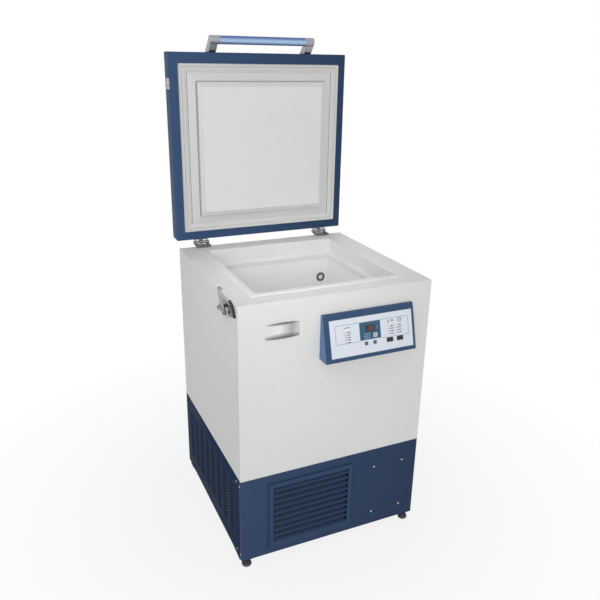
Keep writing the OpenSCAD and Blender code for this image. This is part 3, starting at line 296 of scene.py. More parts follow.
# A lighter copy of the pan's plastic for its flat middle: painted light.
pan_middle_lit = moulding("lid_pan_middle", srgb(237, 237, 237), rough=0.4, bloom=0.03)
face_plastic = moulding("panel_face_plastic", srgb(224, 230, 240), rough=0.4, grain=1400, bloom=0.02)
gasket_rubber = moulding("gasket_rubber", srgb(222, 222, 221), rough=0.55, grain=500)
plug_rubber = moulding("plug_rubber", srgb(236, 236, 234), rough=0.5, grain=500)
black_plastic = moulding("black_plastic", srgb(24, 24, 26), rough=0.4, bloom=0.15)
black_rubber = moulding("black_rubber", srgb(30, 30, 32), rough=0.62, grain=340, depth=0.0001, bloom=0.2)
foot_rubber = moulding("foot_rubber", srgb(86, 92, 104), rough=0.5, grain=340, bloom=0.12)
ring_plastic = moulding("port_ring_plastic", srgb(92, 92, 93), rough=0.35)
teal_overlay = moulding("teal_overlay", srgb(40, 86, 116), rough=0.5, grain=1600)
teal_key = moulding("teal_key", srgb(40, 80, 110), rough=0.4, grain=1600)
pale_key = moulding("pale_key", srgb(212, 204, 206), rough=0.4, grain=1600)
print_blue = moulding("print_blue", srgb(92, 136, 170), rough=0.5, grain=1600)
print_pale = moulding("print_pale", srgb(150, 186, 202), rough=0.4, grain=1600)
print_dark = moulding("print_dark", srgb(30, 33, 42), rough=0.5, grain=1600)
print(len(bpy.data.materials), "materials so far")

# %% [markdown]
# ## Bare metal
# Brushed metal is scratched in one direction, so its noise is squeezed across the scratches.
# Polished plate needs only faint hairlines and a slow haze, which keep it from looking like glass.


# %% Metals
def metal(name, colour, rough, stretch=(1, 1, 1), scratch=0.00001, grain=700, haze=0.1):
    plate = Finish(name, colour, Metallic=1.0)
    lines = plate.noise(grain, 3.0, 0.7, stretch)
    fog = plate.noise(24, 3.0)
    plate.surface(Base_Color=plate.blend(lines * 0.5 + fog * 0.5, tone(colour, 0.82), tone(colour, 1.1)))
    plate.surface(Roughness=(rough + lines * haze + fog * haze * 0.6).held())
    plate.relief(lines, scratch)
    return plate.material


chrome = metal("chrome_plate", (0.40, 0.40, 0.41, 1), 0.2, haze=0.1, grain=300)
brushed = metal("brushed_aluminium", (0.36, 0.37, 0.40, 1), 0.3, stretch=(0.03, 1, 1))
steel = metal("latch_steel", (0.30, 0.30, 0.31, 1), 0.26, stretch=(1, 1, 0.1), haze=0.1, grain=300)
zinc = metal("zinc_steel", (0.42, 0.42, 0.43, 1), 0.3, grain=260, haze=0.16)
fins = metal("fin_aluminium", (0.66, 0.67, 0.68, 1), 0.34, stretch=(1, 1, 0.1))
copper = metal("copper_tube", (0.62, 0.30, 0.18, 1), 0.28, grain=180, haze=0.2)
print(len(bpy.data.materials), "materials so far")

# %% [markdown]
# ## Foam, filter and circuit board
# These are seen only through slots or with the lid's pan away. Foam is a pack of small cells, so
# a Voronoi pattern fits it. The mat is two crossed waves. The board is green lacquer over tracks.


# %% Hidden stuffs
def cellular_foam():
    foam = Finish("rigid_foam", srgb(226, 206, 150), Roughness=0.85)
    cells = foam.add("TexVoronoi", Vector=foam.place(), Scale=420.0)
    tint = foam.noise(14, 4.0)
    foam.surface(Base_Color=foam.blend(tint, srgb(214, 188, 128), srgb(236, 220, 172)))
    foam.relief(cells, 0.0006)
    return foam.material


def filter_weave():
    mat = Finish("filter_weave", srgb(30, 31, 33), Roughness=0.9)
    sideways = mat.add("TexWave", output=1, Vector=mat.place(), Scale=180.0, Distortion=1.5)
    upright = mat.add("TexWave", output=1, Vector=mat.place((0, 0, 1)), Scale=180.0, Distortion=1.5)
    thread = sideways * upright
    mat.surface(Base_Color=mat.blend(thread, srgb(16, 16, 18), srgb(52, 54, 58)))
    mat.relief(thread, 0.0008)
    return mat.material


def circuit_board():
    board = Finish("circuit_board", srgb(28, 96, 52), Roughness=0.35)
    tracks = board.add("TexBrick", Vector=board.place(), Scale=60.0, Mortar_Size=0.03)
    line = board.add("TexBrick", output=1, Vector=board.place(), Scale=60.0, Mortar_Size=0.03)
    board.surface(Base_Color=board.blend(line, srgb(22, 84, 44), srgb(70, 140, 80)))
    board.relief(tracks, 0.00005)
    return board.material


def lens(name, colour, glow):
    """A small lamp: glossy plastic with its light inside, a little uneven over its face."""
    lamp = Finish(name, colour, Roughness=0.2, Coat_Weight=0.5)
    cloud = lamp.noise(300, 2.0)
    lamp.surface(Base_Color=lamp.blend(cloud, tone(colour, 0.8), colour), Roughness=0.15 + cloud * 0.1)
    lamp.surface(Emission_Color=lamp.blend(cloud, tone(colour, 0.9), colour), Emission_Strength=glow)
    return lamp.material


foam_stuff, filter_stuff, board_stuff = cellular_foam(), filter_weave(), circuit_board()
red_lamp = lens("red_lamp", srgb(214, 44, 40), 0.25)
unlit_lamp = lens("unlit_lamp", srgb(66, 40, 46), 0.02)
digit_glow = lens("digit_glow", srgb(112, 80, 78), 0.06)
dark_window = moulding("dark_window", srgb(44, 28, 30), rough=0.3, grain=1600, coat=0.1)
print(len(bpy.data.materials), "materials")

# %% [markdown]
# ## Three ways to make a mesh
# Almost every piece here is a ring of sections, a turned profile or a flat outline with depth.
# `sweep` lays rounded rectangles one after another, `turned` spins a profile round an axis, and
# `prism` gives an outline a thickness. `fillet` first rounds the corners of what they are given.
# Each piece rides on a body, most of them on the cabinet, and may stand for one solid.


# %% Corners and pieces
def fillet(points, radius, steps=4, closed=True):
    """Rounds the corners of a flat outline. radius is one number, or one for each corner."""
    radii = [radius] * len(points) if isinstance(radius, (int, float)) else radius
    done = []
    for i, (point, r) in enumerate(zip(points, radii)):
        if r <= 0 or (not closed and i in (0, len(points) - 1)):
            done.append(tuple(point))
            continue
        corner = Vector(point)
        back = Vector(points[i - 1]) - corner
        on = Vector(points[(i + 1) % len(points)]) - corner
        cut = r / math.tan(max(back.angle(on), 0.02) / 2)
        start = corner + back.normalized() * min(cut, back.length * 0.49)
        end = corner + on.normalized() * min(cut, on.length * 0.49)
        for k in range(steps + 1):
            t = k / steps
            done.append(tuple(start * (1 - t) ** 2 + corner * 2 * t * (1 - t) + end * t * t))
    return done


def stand_in(name, mesh, finish, body, hides):
    """An object for a mesh. It rides on a body, and hides names the solid it stands for."""
    mesh.materials.append(finish)
    made = bpy.data.objects.new(name, mesh)
    bpy.context.collection.objects.link(made)
    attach(made, body)
    if hides:
        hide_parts(hides)
    return made


def whole(name, shape, finish, body, hides):
    """The same, for a bmesh that is no longer needed."""
    mesh = bpy.data.meshes.new(name)
    shape.to_mesh(mesh)
    shape.free()
    return stand_in(name, mesh, finish, body, hides)


def piece(name, vertices, faces, finish, body="cabinet", hides=None, crease=32, bevel=0.0):
    """An object from points and faces. Edges above crease degrees stay sharp, or are bevelled."""
    mesh = bpy.data.meshes.new(name)
    mesh.from_pydata([tuple(v) for v in vertices], [], faces)
    shape = bmesh.new()
    shape.from_mesh(mesh)
    bmesh.ops.remove_doubles(shape, verts=shape.verts, dist=2e-6)
    bmesh.ops.recalc_face_normals(shape, faces=shape.faces)
    shape.to_mesh(mesh)
    shape.free()
    mesh.shade_smooth()
    made = stand_in(name, mesh, finish, body, hides)
    if not bevel:
        mesh.set_sharp_from_angle(angle=math.radians(crease))
        return made
    edge = made.modifiers.new("edge", "BEVEL")
    edge.width, edge.segments, edge.limit_method = bevel, 3, "ANGLE"
    edge.angle_limit, edge.harden_normals = math.radians(crease), True
    return made


print("pieces can be made")


# %% Sweep, turned and prism
def ring(a, b, r, corner):
    """Points of a rounded rectangle with half sizes a and b."""
    r = max(min(r, a - 1e-5, b - 1e-5), 1e-5)
    points = []
    for quarter, (sx, sy) in enumerate(((1, 1), (-1, 1), (-1, -1), (1, -1))):
        for k in range(corner + 1):
            turn = math.radians(90 * (quarter + k / corner))
            points.append((sx * (a - r) + r * math.cos(turn), sy * (b - r) + r * math.sin(turn)))
    return points


def upright(x, y, h):
    return (x, y, h)


def from_side(y, z, x):
    return (x, y, z)


def from_front(x, z, y):
    return (x, y, z)


def oblong(u0, v0, u1, v1):
    return [(u0, v0), (u1, v0), (u1, v1), (u0, v1)]


RIGHT, BACK, UP = (1, 0, 0), (0, 1, 0), (0, 0, 1)


def sweep(name, sections, finish, body="cabinet", place=upright, cap=(False, False), closed=False, corner=6,
          **more):
    """Skins a row of rounded rectangles (a, b, radius, height)."""
    rings = [ring(a, b, r, corner) for a, b, r, _ in sections]
    points = [place(x, y, s[3]) for s, loop in zip(sections, rings) for x, y in loop]
    n, m = len(rings[0]), len(sections)
    faces = []
    for i in range(m if closed else m - 1):
        j = (i + 1) % m
        faces += [(i * n + k, i * n + (k + 1) % n, j * n + (k + 1) % n, j * n + k) for k in range(n)]
    faces += [tuple(range(n))] if cap[0] else []
    faces += [tuple(range((m - 1) * n, m * n))] if cap[1] else []
    return piece(name, points, faces, finish, body, **more)


def around(a, b, r, profile, mitred=False):
    """Sections at an offset from a rectangle, as (offset, height). mitred keeps the corner radius."""
    return [(a + off, b + off, r if mitred else max(r + off, 0.0004), h) for off, h in profile]


def turned(name, profile, at, along, finish, body="cabinet", sides=40, **more):
    """Spins (radius, distance) points round a line through at."""
    turn = Vector(along).to_track_quat("Z", "Y")
    points = []
    for r, d in profile:
        for k in range(sides):
            w = math.tau * k / sides
            points.append(Vector(at) + turn @ Vector((r * math.cos(w), r * math.sin(w), d)))
    n = sides
    faces = [(i * n + k, i * n + (k + 1) % n, (i + 1) * n + (k + 1) % n, (i + 1) * n + k)
             for i in range(len(profile) - 1) for k in range(n)]
    return piece(name, points, faces, finish, body, **more)


def prism(name, outline, low, high, place, finish, body="cabinet", **more):
    """Gives a flat outline a depth from low to high. place maps (u, v, depth) into the frame."""
    n = len(outline)
    points = [place(u, v, w) for w in (low, high) for u, v in outline]
    faces = [(k, (k + 1) % n, n + (k + 1) % n, n + k) for k in range(n)]
    return piece(name, points, faces + [tuple(range(n)), tuple(range(n, 2 * n))], finish, body, **more)


print("three kinds of shape can be made")

# %% [markdown]
# ## Joining, cutting and keeping
# A casting of several shapes is joined into one object. A hole is a Boolean cut with a second
# shape. A solid whose shape is already right is copied with its flat faces made whole and its
# edges eased, or keeps its mesh and only gets a material.


# %% Joining and cutting
def joined(name, parts, finish, body="cabinet", hides=None):
    """One object from several, for a piece that the frame holds as one solid."""
    graph = bpy.context.evaluated_depsgraph_get()
    shape = bmesh.new()
    for part in parts:
        solid = bpy.data.meshes.new_from_object(part.evaluated_get(graph))
        solid.transform(part.matrix_world)
        shape.from_mesh(solid)
        bpy.data.objects.remove(part)
    return whole(name, shape, finish, body, hides)


def cut(target, cutter):
    """Takes the cutter's shape out of a piece and removes the cutter."""
    hole = target.modifiers.new("hole", "BOOLEAN")
    hole.object, hole.solver = cutter, "EXACT"
    bpy.context.view_layer.update()
    mesh = bpy.data.meshes.new_from_object(target.evaluated_get(bpy.context.evaluated_depsgraph_get()))
    target.modifiers.clear()
    target.data = mesh
    mesh.set_sharp_from_angle(angle=math.radians(32))
    bpy.data.objects.remove(cutter)


def softened(node, finish, bevel=0.0008, crease=30):
    """A copy of a solid with its flat faces whole again and its edges eased."""
    source = frame["nodes"][node].data
    shape = bmesh.new()
    shape.from_mesh(source)
    bmesh.ops.remove_doubles(shape, verts=shape.verts, dist=1e-6)
    bmesh.ops.dissolve_limit(shape, angle_limit=math.radians(1), verts=shape.verts, edges=shape.edges)
    points = [v.co.copy() for v in shape.verts]
    for i, v in enumerate(shape.verts):
        v.index = i
    faces = [tuple(v.index for v in f.verts) for f in shape.faces]
    shape.free()
    return piece(node + "_eased", points, faces, finish, body_of_node[node], node, crease, bevel)


def coat_solid(finish, *nodes):
    """Gives solids that stay as they are a material."""
    for node in nodes:
        mesh = frame["nodes"][node].data
        mesh.materials.clear()
        mesh.materials.append(finish)


def size_of(node):
    """The middle and the half sizes of a solid's box."""
    low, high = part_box(node)
    return (low + high) / 2, (high - low) / 2


print("solids can be joined, cut, eased or painted")

# %% [markdown]
# ## The white cabinet
# The cabinet is one folded sheet with a flat top. Its upper edges are bent with a radius of about
# two millimetres, which is what catches a thin bright line. A sweep of rounded rectangles gives
# the walls, the bend and the top in one skin. The back stays open, since the solid rear panel
# closes it.

# %% Cabinet shell
SIDE, DEPTH = size_of("outer_shell")[1].x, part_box("rear_panel")[1].y
SPLIT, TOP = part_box("outer_shell")[0].z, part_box("outer_shell")[1].z
WELL_A, WELL_B, WELL_R = 0.270, 0.264, 0.008
BEND, FOLD_R, STEP_IN, UNDER_LIP, SHEET_T = 0.0022, 0.003, 0.0012, 0.0225, 0.0015
bend = fillet([(0, TOP - 0.02), (0, TOP), (-0.03, TOP)], BEND, 5, closed=False)
skin = [(-STEP_IN, SPLIT), (-STEP_IN, SPLIT + 0.0008), (0, SPLIT + 0.002), *bend]
sections = around(SIDE, DEPTH, FOLD_R, skin)
sections += [(WELL_A + UNDER_LIP, WELL_B + UNDER_LIP, WELL_R, TOP - drop) for drop in (0, SHEET_T)]
shell = sweep("cabinet_shell", sections, white_paint, hides="outer_shell")
trim = bmesh.new()
trim.from_mesh(shell.data)
rear = [f for f in trim.faces if f.normal.y > 0.99 and f.calc_center_median().y > DEPTH - 0.002]
bmesh.ops.delete(trim, geom=rear, context="FACES")
trim.to_mesh(shell.data)
trim.free()
coat_solid(white_paint, "rear_panel")
print("cabinet", round(SIDE * 2, 3), "by", round(DEPTH * 2, 3), "top at", round(TOP, 3))

# %% [markdown]
# ## The opening
# A moulded collar lines the mouth: a raised lip that the gasket meets, a wall, a ledge for an
# inner cover, and a short wall down to the seam. Its profile is drawn once and laid round the
# opening. The chamber below is coated sheet steel with a generous radius where walls meet floor.

# %% Collar and liner
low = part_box("opening_collar")[0].z
LIP, LEDGE, MOULDED = TOP + 0.004, TOP - 0.055, 0.0025
profile = fillet(
    [(0.024, TOP + 0.0001), (0.024, LIP), (0, LIP), (0, LEDGE), (-0.024, LEDGE), (-0.024, low),
     (-0.0215, low), (-0.0215, LEDGE - MOULDED), (MOULDED, LEDGE - MOULDED), (MOULDED, TOP + 0.0001)],
    [0, 0.0032, 0.0032, 0.004, 0.003, 0.0008, 0.0008, 0, 0, 0], 5)
sweep("collar_moulding", around(WELL_A, WELL_B, WELL_R, profile, mitred=True), collar_plastic,
      closed=True, corner=8, hides="opening_collar")

mid, half = size_of("inner_liner")
floor_z, rim_z = mid.z - half.z, mid.z + half.z
TUB_A, TUB_B = WELL_A - 0.025, WELL_B - 0.025
wall = fillet([(-0.12, floor_z), (SHEET_T, floor_z), (SHEET_T, rim_z - SHEET_T), (0.016, rim_z - SHEET_T),
               (0.016, rim_z), (0, rim_z), (0, floor_z + SHEET_T), (-0.12, floor_z + SHEET_T)],
              [0, 0.013, 0, 0, 0, 0.002, 0.012, 0], 6, closed=False)
liner = sweep("chamber_liner", around(TUB_A, TUB_B, 0.01, wall), liner_paint,
              cap=(True, True), corner=8, hides="inner_liner")
PORT = Vector((0.218, 0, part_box("port_sleeve")[0].z / 2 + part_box("port_sleeve")[1].z / 2))
drill = turned("drill", [(0, 0), (0.0148, 0), (0.0148, 0.03), (0, 0.03)],
               (PORT.x, TUB_B - 0.01, PORT.z), BACK, liner_paint)
cut(liner, drill)
print("chamber", round(2 * TUB_A, 3), "by", round(2 * TUB_B, 3), "deep", round(rim_z - floor_z, 3))

# %% [markdown]
# ## The access port
# A sleeve runs through the wall for probe leads. Inside it ends in a dark ring, and a soft white
# plug fills its bore. Both are turned parts, so one profile each is enough.

# %% Port
inner_y = TUB_B - 0.003
BORE, THROUGH = 0.0125, DEPTH - inner_y
sleeve = fillet([(BORE, THROUGH), (BORE, 0.0022), (0.0098, 0.0022), (0.0098, 0), (0.020, 0),
                 (0.020, 0.003), (0.0145, 0.003), (0.0145, THROUGH), (BORE, THROUGH)],
                [0, 0, 0, 0.0012, 0.0016, 0, 0, 0, 0], 4, closed=False)
turned("port_ring", sleeve, (PORT.x, inner_y, PORT.z), BACK, ring_plastic, hides="port_sleeve")
end = DEPTH + 0.0053 - inner_y - 0.001
stopper = [(0, 0.0072), (0.004, 0.0052), (0.0072, 0.0030), (0.0098, 0.0018), (0.0118, 0.0022),
           (0.01245, 0.0036), (0.01245, end - 0.005), (0.0175, end - 0.005), (0.0185, end - 0.004),
           (0.0185, end - 0.001), (0.0175, end), (0.008, end), (0.007, end - 0.001), (0, end - 0.001)]
turned("port_stopper", stopper, (PORT.x, inner_y + 0.001, PORT.z), BACK, plug_rubber, "plug",
       hides="port_plug")
print("port", round(THROUGH, 3), "long")

# %% [markdown]
# ## The perforated sides
# Each blue side has eight upright bands of round holes in staggered columns. A picture of holes
# would look flat from the side, so they are real. Every hole sits in its own small cell, the
# cells of a column share corners with its neighbours, and a Solidify modifier adds the thickness.
# A strip of black cloth behind each band is painted shade: it keeps light out of the machine
# space, so the holes read dark.

# %% Side panels
BANDS, COLUMNS, ROWS, ROUND = 8, 4, 17, 12
PITCH_BAND, PITCH_COLUMN, PITCH_ROW, HOLE, SHIFT = 0.075, 0.010, 0.013, 0.0042, 0.013
SHEET, SCRIM_IN, SCRIM_HALF = 0.0009, 0.0016, 0.024
FIRST_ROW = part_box("base_pan")[0].z + 0.064
STEP = PITCH_ROW / 2
BOTTOM, CEILING = FIRST_ROW - STEP, FIRST_ROW + (ROWS - 0.5) * PITCH_ROW + STEP
rims = ((1, 0), (1, 1), (-1, 1), (-1, 0), (-1, -1), (1, -1))
scrims = []


def perforated_side(side, node):
    low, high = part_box(node)
    outer = high.x if side > 0 else low.x
    levels = [BOTTOM + STEP * k for k in range(2 * ROWS + 2)]
    points, faces, edges = [], [], [low.y]

    def face(*loop):
        faces.append(tuple(range(len(points), len(points) + len(loop))))
        points.extend((outer, y, z) for y, z in loop)

    def block(y0, y1, z0, z1):
        ends = [z0] + [z for z in levels if z0 + 1e-6 < z < z1 - 1e-6] + [z1]
        face(*[(y1, z) for z in ends], *[(y0, z) for z in reversed(ends)])

    for band in range(BANDS):
        for column in range(COLUMNS):
            y = (band - (BANDS - 1) / 2) * PITCH_BAND + (column - (COLUMNS - 1) / 2) * PITCH_COLUMN + SHIFT
            a, b = y - PITCH_COLUMN / 2, y + PITCH_COLUMN / 2
            if column == 0:
                block(edges[-1], a, BOTTOM, CEILING)
                edges.append(a)
            first = FIRST_ROW + (column % 2) * STEP
            for row in range(ROWS):
                z = first + row * PITCH_ROW
                turns = [math.tau * k / ROUND for k in range(ROUND)]
                spots = [(y + HOLE * math.cos(w), z + HOLE * math.sin(w)) for w in turns]
                cell = [(y + sy * PITCH_COLUMN / 2, z + sz * STEP) for sy, sz in rims]
                for k in range(6):
                    arc = spots[(2 * k + 2) % ROUND], spots[2 * k + 1], spots[2 * k]
                    face(cell[k], cell[(k + 1) % 6], *arc)
            if column % 2:
                block(a, b, BOTTOM, first - STEP)
            else:
                block(a, b, first + (ROWS - 0.5) * PITCH_ROW, CEILING)
            edges.append(b)
    block(edges[-1], high.y, BOTTOM, CEILING)
    edges.append(high.y)
    row = sorted(set(round(e, 6) for e in edges))
    face((row[0], low.z), (row[-1], low.z), *[(y, BOTTOM) for y in reversed(row)])
    face(*[(y, CEILING) for y in row], (row[-1], high.z), (row[0], high.z))
    made = piece(node + "_perforated", points, faces, shaded_side_paint, hides=node)
    sheet = made.modifiers.new("sheet", "SOLIDIFY")
    facing_out = made.data.polygons[0].normal.x * side > 0
    sheet.thickness, sheet.offset = SHEET, -1.0 if facing_out else 1.0
    for band in range(BANDS):
        y = (band - (BANDS - 1) / 2) * PITCH_BAND + SHIFT
        strip = oblong(y - SCRIM_HALF, BOTTOM, y + SCRIM_HALF, CEILING)
        loop = [(outer - side * SCRIM_IN, *corner) for corner in strip]
        scrims.append(piece("scrim", loop, [(0, 1, 2, 3)], shade_scrim_stuff))


# Both sides take the darker copy of the navy coat, which is painted shade.
perforated_side(-1, "left_side_panel")
perforated_side(1, "right_side_panel")
# The black strips behind the holes are painted shade.
joined("dust_scrims", scrims, shade_scrim_stuff)
print("holes in each side:", BANDS * COLUMNS * ROWS)

# %% [markdown]
# ## The blue base
# The front panel, pan, deck and rear cover are plain folded sheets, so their solids keep their
# shape and only get paint. The grille is pressed steel: each blade leaves the panel at its upper
# edge, swings out as it comes down and curls under at the lip. That belly shades from dark to
# light, helped by painted shade in the grille's coat towards the back of the slots. A closed outline
# drawn out along the slot gives it, and the frame is one sweep. A dark wedge closes each end of a
# slot, where the pressed blades run back into the panel: painted shade, a dark piece set where the
# slot ends lie in shadow.

# %% Louvre grille
coat_solid(navy_paint, "base_front_panel", "base_pan", "deck_frame", "rear_cover")
coat_solid(filter_stuff, "air_filter")
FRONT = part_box("louvre_grille")[1].y
mid, half = size_of("louvre_grille")
GRILLE_OUT, GRILLE_RIM, SLOTS = 2 * half.y, 0.017, 10
FIRST_LIP, PITCH, OPEN, CURVE = 0.0120, 0.02455, 0.0106, 9
SLOT_END = half.x - GRILLE_RIM


def on_grille(x, z, out):
    return (mid.x + x, FRONT - out, mid.z + z)


def blade(low, high):
    """One blade from the lip at its lower edge to its hidden upper edge."""
    foot = low + 0.0026
    belly = [(-0.0020 + BELLY * (1 - k / CURVE) ** 1.9, foot + (high - low - 0.0026) * k / CURVE)
             for k in range(CURVE + 1)]
    lip = [(0.0074, low + 0.0017), (0.0069, low + 0.0008), (0.0057, low + 0.0006), (0.0054, low + 0.0015)]
    inside = [(out - 0.0013, z + 0.0005) for out, z in belly]
    return prism("blade", belly[::-1] + lip + inside, -SLOT_END - 0.0006, SLOT_END + 0.0006,
                 lambda out, z, x: on_grille(x, z, out), grille_paint, crease=50)


border = fillet([(0, 0), (0, GRILLE_OUT), (-GRILLE_RIM, GRILLE_OUT), (-GRILLE_RIM, 0)],
                [0, 0.0022, 0.0016, 0], 4)
parts = [sweep("grille_border", around(half.x, half.z, 0.003, border), grille_paint, place=on_grille,
               closed=True)]
lips = [half.z - FIRST_LIP - k * PITCH for k in range(SLOTS)]
parts += [blade(lips[k], lips[k - 1] - OPEN) for k in range(1, SLOTS)]
parts.append(blade(-half.z + GRILLE_RIM - 0.0026, lips[-1] - OPEN))
# Black wedges at the slot ends: painted shade where the slot ends lie in shadow.
wall, tip = SLOT_END + 0.0004, SLOT_END - 0.0125
wedge = [(0, 1, 2), (0, 3, 4, 1), (1, 4, 2), (0, 2, 3), (3, 2, 4)]
ends = []
for z in lips:
    corners = [(wall, z + 0.0005, -0.002), (wall, z + 0.0005, GRILLE_OUT - 0.0004),
               (wall, z - 0.0135, 0.0052), (tip, z, -0.002), (tip, z, 0.0078)]
    ends.append(piece("end", [on_grille(*c) for c in corners], wedge, shade_scrim_stuff))
joined("slot_ends", ends, shade_scrim_stuff)
joined("louvred_grille", parts, grille_paint, hides="louvre_grille")
print(SLOTS, "slots,", round(PITCH * 1000, 1), "mm apart")

# %% [markdown]
# ## Screws
# All the panel screws are the same pan head with a cross recess. One is turned and cut, and its
# copies are set down in a row, so a single edit changes them all.


# %% Panel screws
def scattered(name, source, places, finish, body="cabinet", hides=None):
    """Copies of one small piece at several places, in one object."""
    solid = bpy.data.meshes.new_from_object(source.evaluated_get(bpy.context.evaluated_depsgraph_get()))
    bpy.data.objects.remove(source)
    shape = bmesh.new()
    for place in places:
        copy = solid.copy()
        copy.transform(place)
        shape.from_mesh(copy)
        bpy.data.meshes.remove(copy)
    return whole(name, shape, finish, body, hides)


def pan_screw(size=1.0):
    """A screw on the origin, its head's underside in the plane z = 0."""
    dome = fillet([(0, 0.0018), (0.0030, 0.0018), (0.0045, 0.0008), (0.0045, 0), (0.0019, 0),
                   (0.0019, -0.003), (0, -0.003)], [0, 0.002, 0.0008, 0, 0, 0, 0], 4, closed=False)
    screw = turned("screw", [(r * size, d * size) for r, d in dome], (0, 0, 0), UP, zinc, sides=24)
    arm, web = 0.0024 * size, 0.00045 * size
    cross = [(web, -arm), (web, -web), (arm, -web), (arm, web), (web, web), (web, arm),
             (-web, arm), (-web, web), (-arm, web), (-arm, -web), (-web, -web), (-web, -arm)]
    cut(screw, prism("recess", cross, 0.0007 * size, 0.003 * size, upright, zinc))
    return screw


def facing(point, direction, spin=0.0):
    turn = Vector(direction).to_track_quat("Z", "Y").to_matrix().to_4x4()
    return Matrix.Translation(point) @ turn @ Matrix.Rotation(spin, 4, "Z")


low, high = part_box("service_panel")
spots = [facing((x, low.y, z), (0, -1, 0), x * 9 + z * 5) for x in (low.x + 0.038, high.x - 0.038)
         for z in (low.z + 0.008, high.z - 0.008)]
edge_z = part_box("left_side_panel")[0].z
for side in (-1, 1):
    for y in (-DEPTH + 0.009, -DEPTH + 0.045):
        for z in (edge_z + 0.025, edge_z + 0.320):
            spots.append(facing((side * SIDE, y, z), (side, 0, 0), y * 30 + z * 8))
scattered("cross_screws", pan_screw(), spots, zinc, hides="panel_screws")
softened("service_panel", navy_paint, 0.0005)
print(len(spots), "screws")

# %% [markdown]
# ## Feet
# Each foot is a moulded cone with a hexagon for the spanner, on a threaded stud, with a grey
# rubber ring below. The thread is a zigzag in the turned profile: rings, not a helix, which no
# eye can tell apart at this size. The cone, hexagon, stud and ring turn and slide as one body.

# %% Levelling feet
THREAD, NUT = 0.0009, 0.0108
pad = fillet([(0, 0), (0.0165, 0), (0.0185, 0.003), (0.0185, 0.0072), (0.0165, 0.0090), (0, 0.0090)],
             [0, 0.002, 0.002, 0.0018, 0.0012, 0], 4, closed=False)
cone = fillet([(0, 0.009), (0.0162, 0.009), (0.0166, 0.0125), (0.0135, 0.018), (0.0112, 0.0225),
               (0.0058, 0.0225)], [0, 0.0012, 0.002, 0.006, 0.0012, 0], 4, closed=False)
for corner in ("front_left", "front_right", "rear_left", "rear_right"):
    node, body = "foot_" + corner, corner + "_foot"
    low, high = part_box(node)
    at = ((low.x + high.x) / 2, (low.y + high.y) / 2, 0)
    crests = range(int((high.z - 0.0238) / THREAD))
    thread = [(0.0059 if k % 2 else 0.0053, 0.0228 + k * THREAD) for k in crests]
    stud = cone + thread + [(0.0048, high.z - 0.0005), (0, high.z)]
    turns = [math.radians(60 * k) for k in range(6)]
    nut = prism(node + "_nut", [(NUT * math.cos(w), NUT * math.sin(w)) for w in turns], 0.0225, 0.0300,
                lambda u, v, w: (at[0] + u, at[1] + v, w), black_rubber, body, bevel=0.0006)
    parts = [turned(node + "_cone", stud, at, UP, black_rubber, body), nut]
    joined(node + "_foot", parts, black_rubber, body, hides=node)
    turned(node + "_pad", pad, at, UP, foot_rubber, body)
softened("foot_brackets", black_paint, 0.0006)

# %% [markdown]
# ## The control housing
# The housing is a wedge of painted steel whose front leans back by about fifteen degrees. Its
# outline is drawn from the side with round corners and drawn out along the width. Two cuts make
# a seat for the white face and a hollow behind it, where the board and the keys' stems go. Thin
# cheeks close its two ends in a lighter copy of the housing's paint, which is painted light.

# %% Housing
low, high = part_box("control_housing")
FOOT = Vector((0, low.y, low.z))
SLOPE = math.atan2(0.044, high.z - low.z)
OUTWARD = (0, -math.cos(SLOPE), math.sin(SLOPE))
FACE_X, FACE_W, FACE_H, FACE_S, DROP = 0.1095, 0.323, 0.130, 0.0115, 0.0042


def on_face(x, s, out):
    """A point by its place across, its distance up the sloping face and its height above it."""
    return (x, FOOT.y + s * math.sin(SLOPE) - out * math.cos(SLOPE),
            FOOT.z + s * math.cos(SLOPE) + out * math.sin(SLOPE))


def seated(x, s):
    return lambda u, v, out: on_face(x + u, s + v, out)


def plate(name, x, s, w, h, r, out, base, finish, ease=0.0003, **more):
    """A rounded rectangular block on the face, with its upper edge eased."""
    steps = fillet([(0, base), (0, out), (-min(w, h) / 4, out)], [0, ease, 0], 3, closed=False)
    return sweep(name, around(w / 2, h / 2, r, steps), finish, cap=(True, True), place=seated(x, s), **more)


side_view = fillet([(FRONT, low.z - DROP), on_face(0, -DROP / math.cos(SLOPE), 0)[1:],
                    on_face(0, (high.z - low.z - DROP) / math.cos(SLOPE), 0)[1:], (FRONT, high.z - DROP)],
                   [0, 0.0040, 0.006, 0], 5)
housing = prism("control_housing_wedge", side_view, low.x, high.x, from_side, housing_paint,
                hides="control_housing", bevel=0.0016, crease=40)
middle = FACE_S + FACE_H / 2
for name, margin, depth in (("seat", -0.0006, -0.0021), ("hollow", 0.012, -0.0178)):
    cut(housing, plate(name, FACE_X, middle, FACE_W - margin, FACE_H - margin, 0.001, 0.004, depth,
                       housing_paint))
inset = [(y + (0.0012 if y < FRONT - 0.02 else 0.0006), z) for y, z in side_view]
# The cheeks' lighter paint is painted light.
for name, end, outer, inner in (("left_cheek", low.x, -0.0004, 0.0006),
                                ("right_cheek", high.x, -0.0006, 0.0004)):
    prism(name, inset, end + outer, end + inner, from_side, lit_cheek_paint, bevel=0.0003, crease=40)
coat_solid(face_plastic, "control_face")
coat_solid(board_stuff, "control_board")
print("face slopes", round(math.degrees(SLOPE), 1), "degrees")

# %% [markdown]
# ## Display, keys and switches
# The display block is a printed overlay with a dark window and lit digits behind it. Digits are
# seven short bars, the oldest way to draw a number with lamps. Keys are small rounded blocks that
# ride on their own bodies, and each rocker tips in a pale bezel that hides the cut in the face.

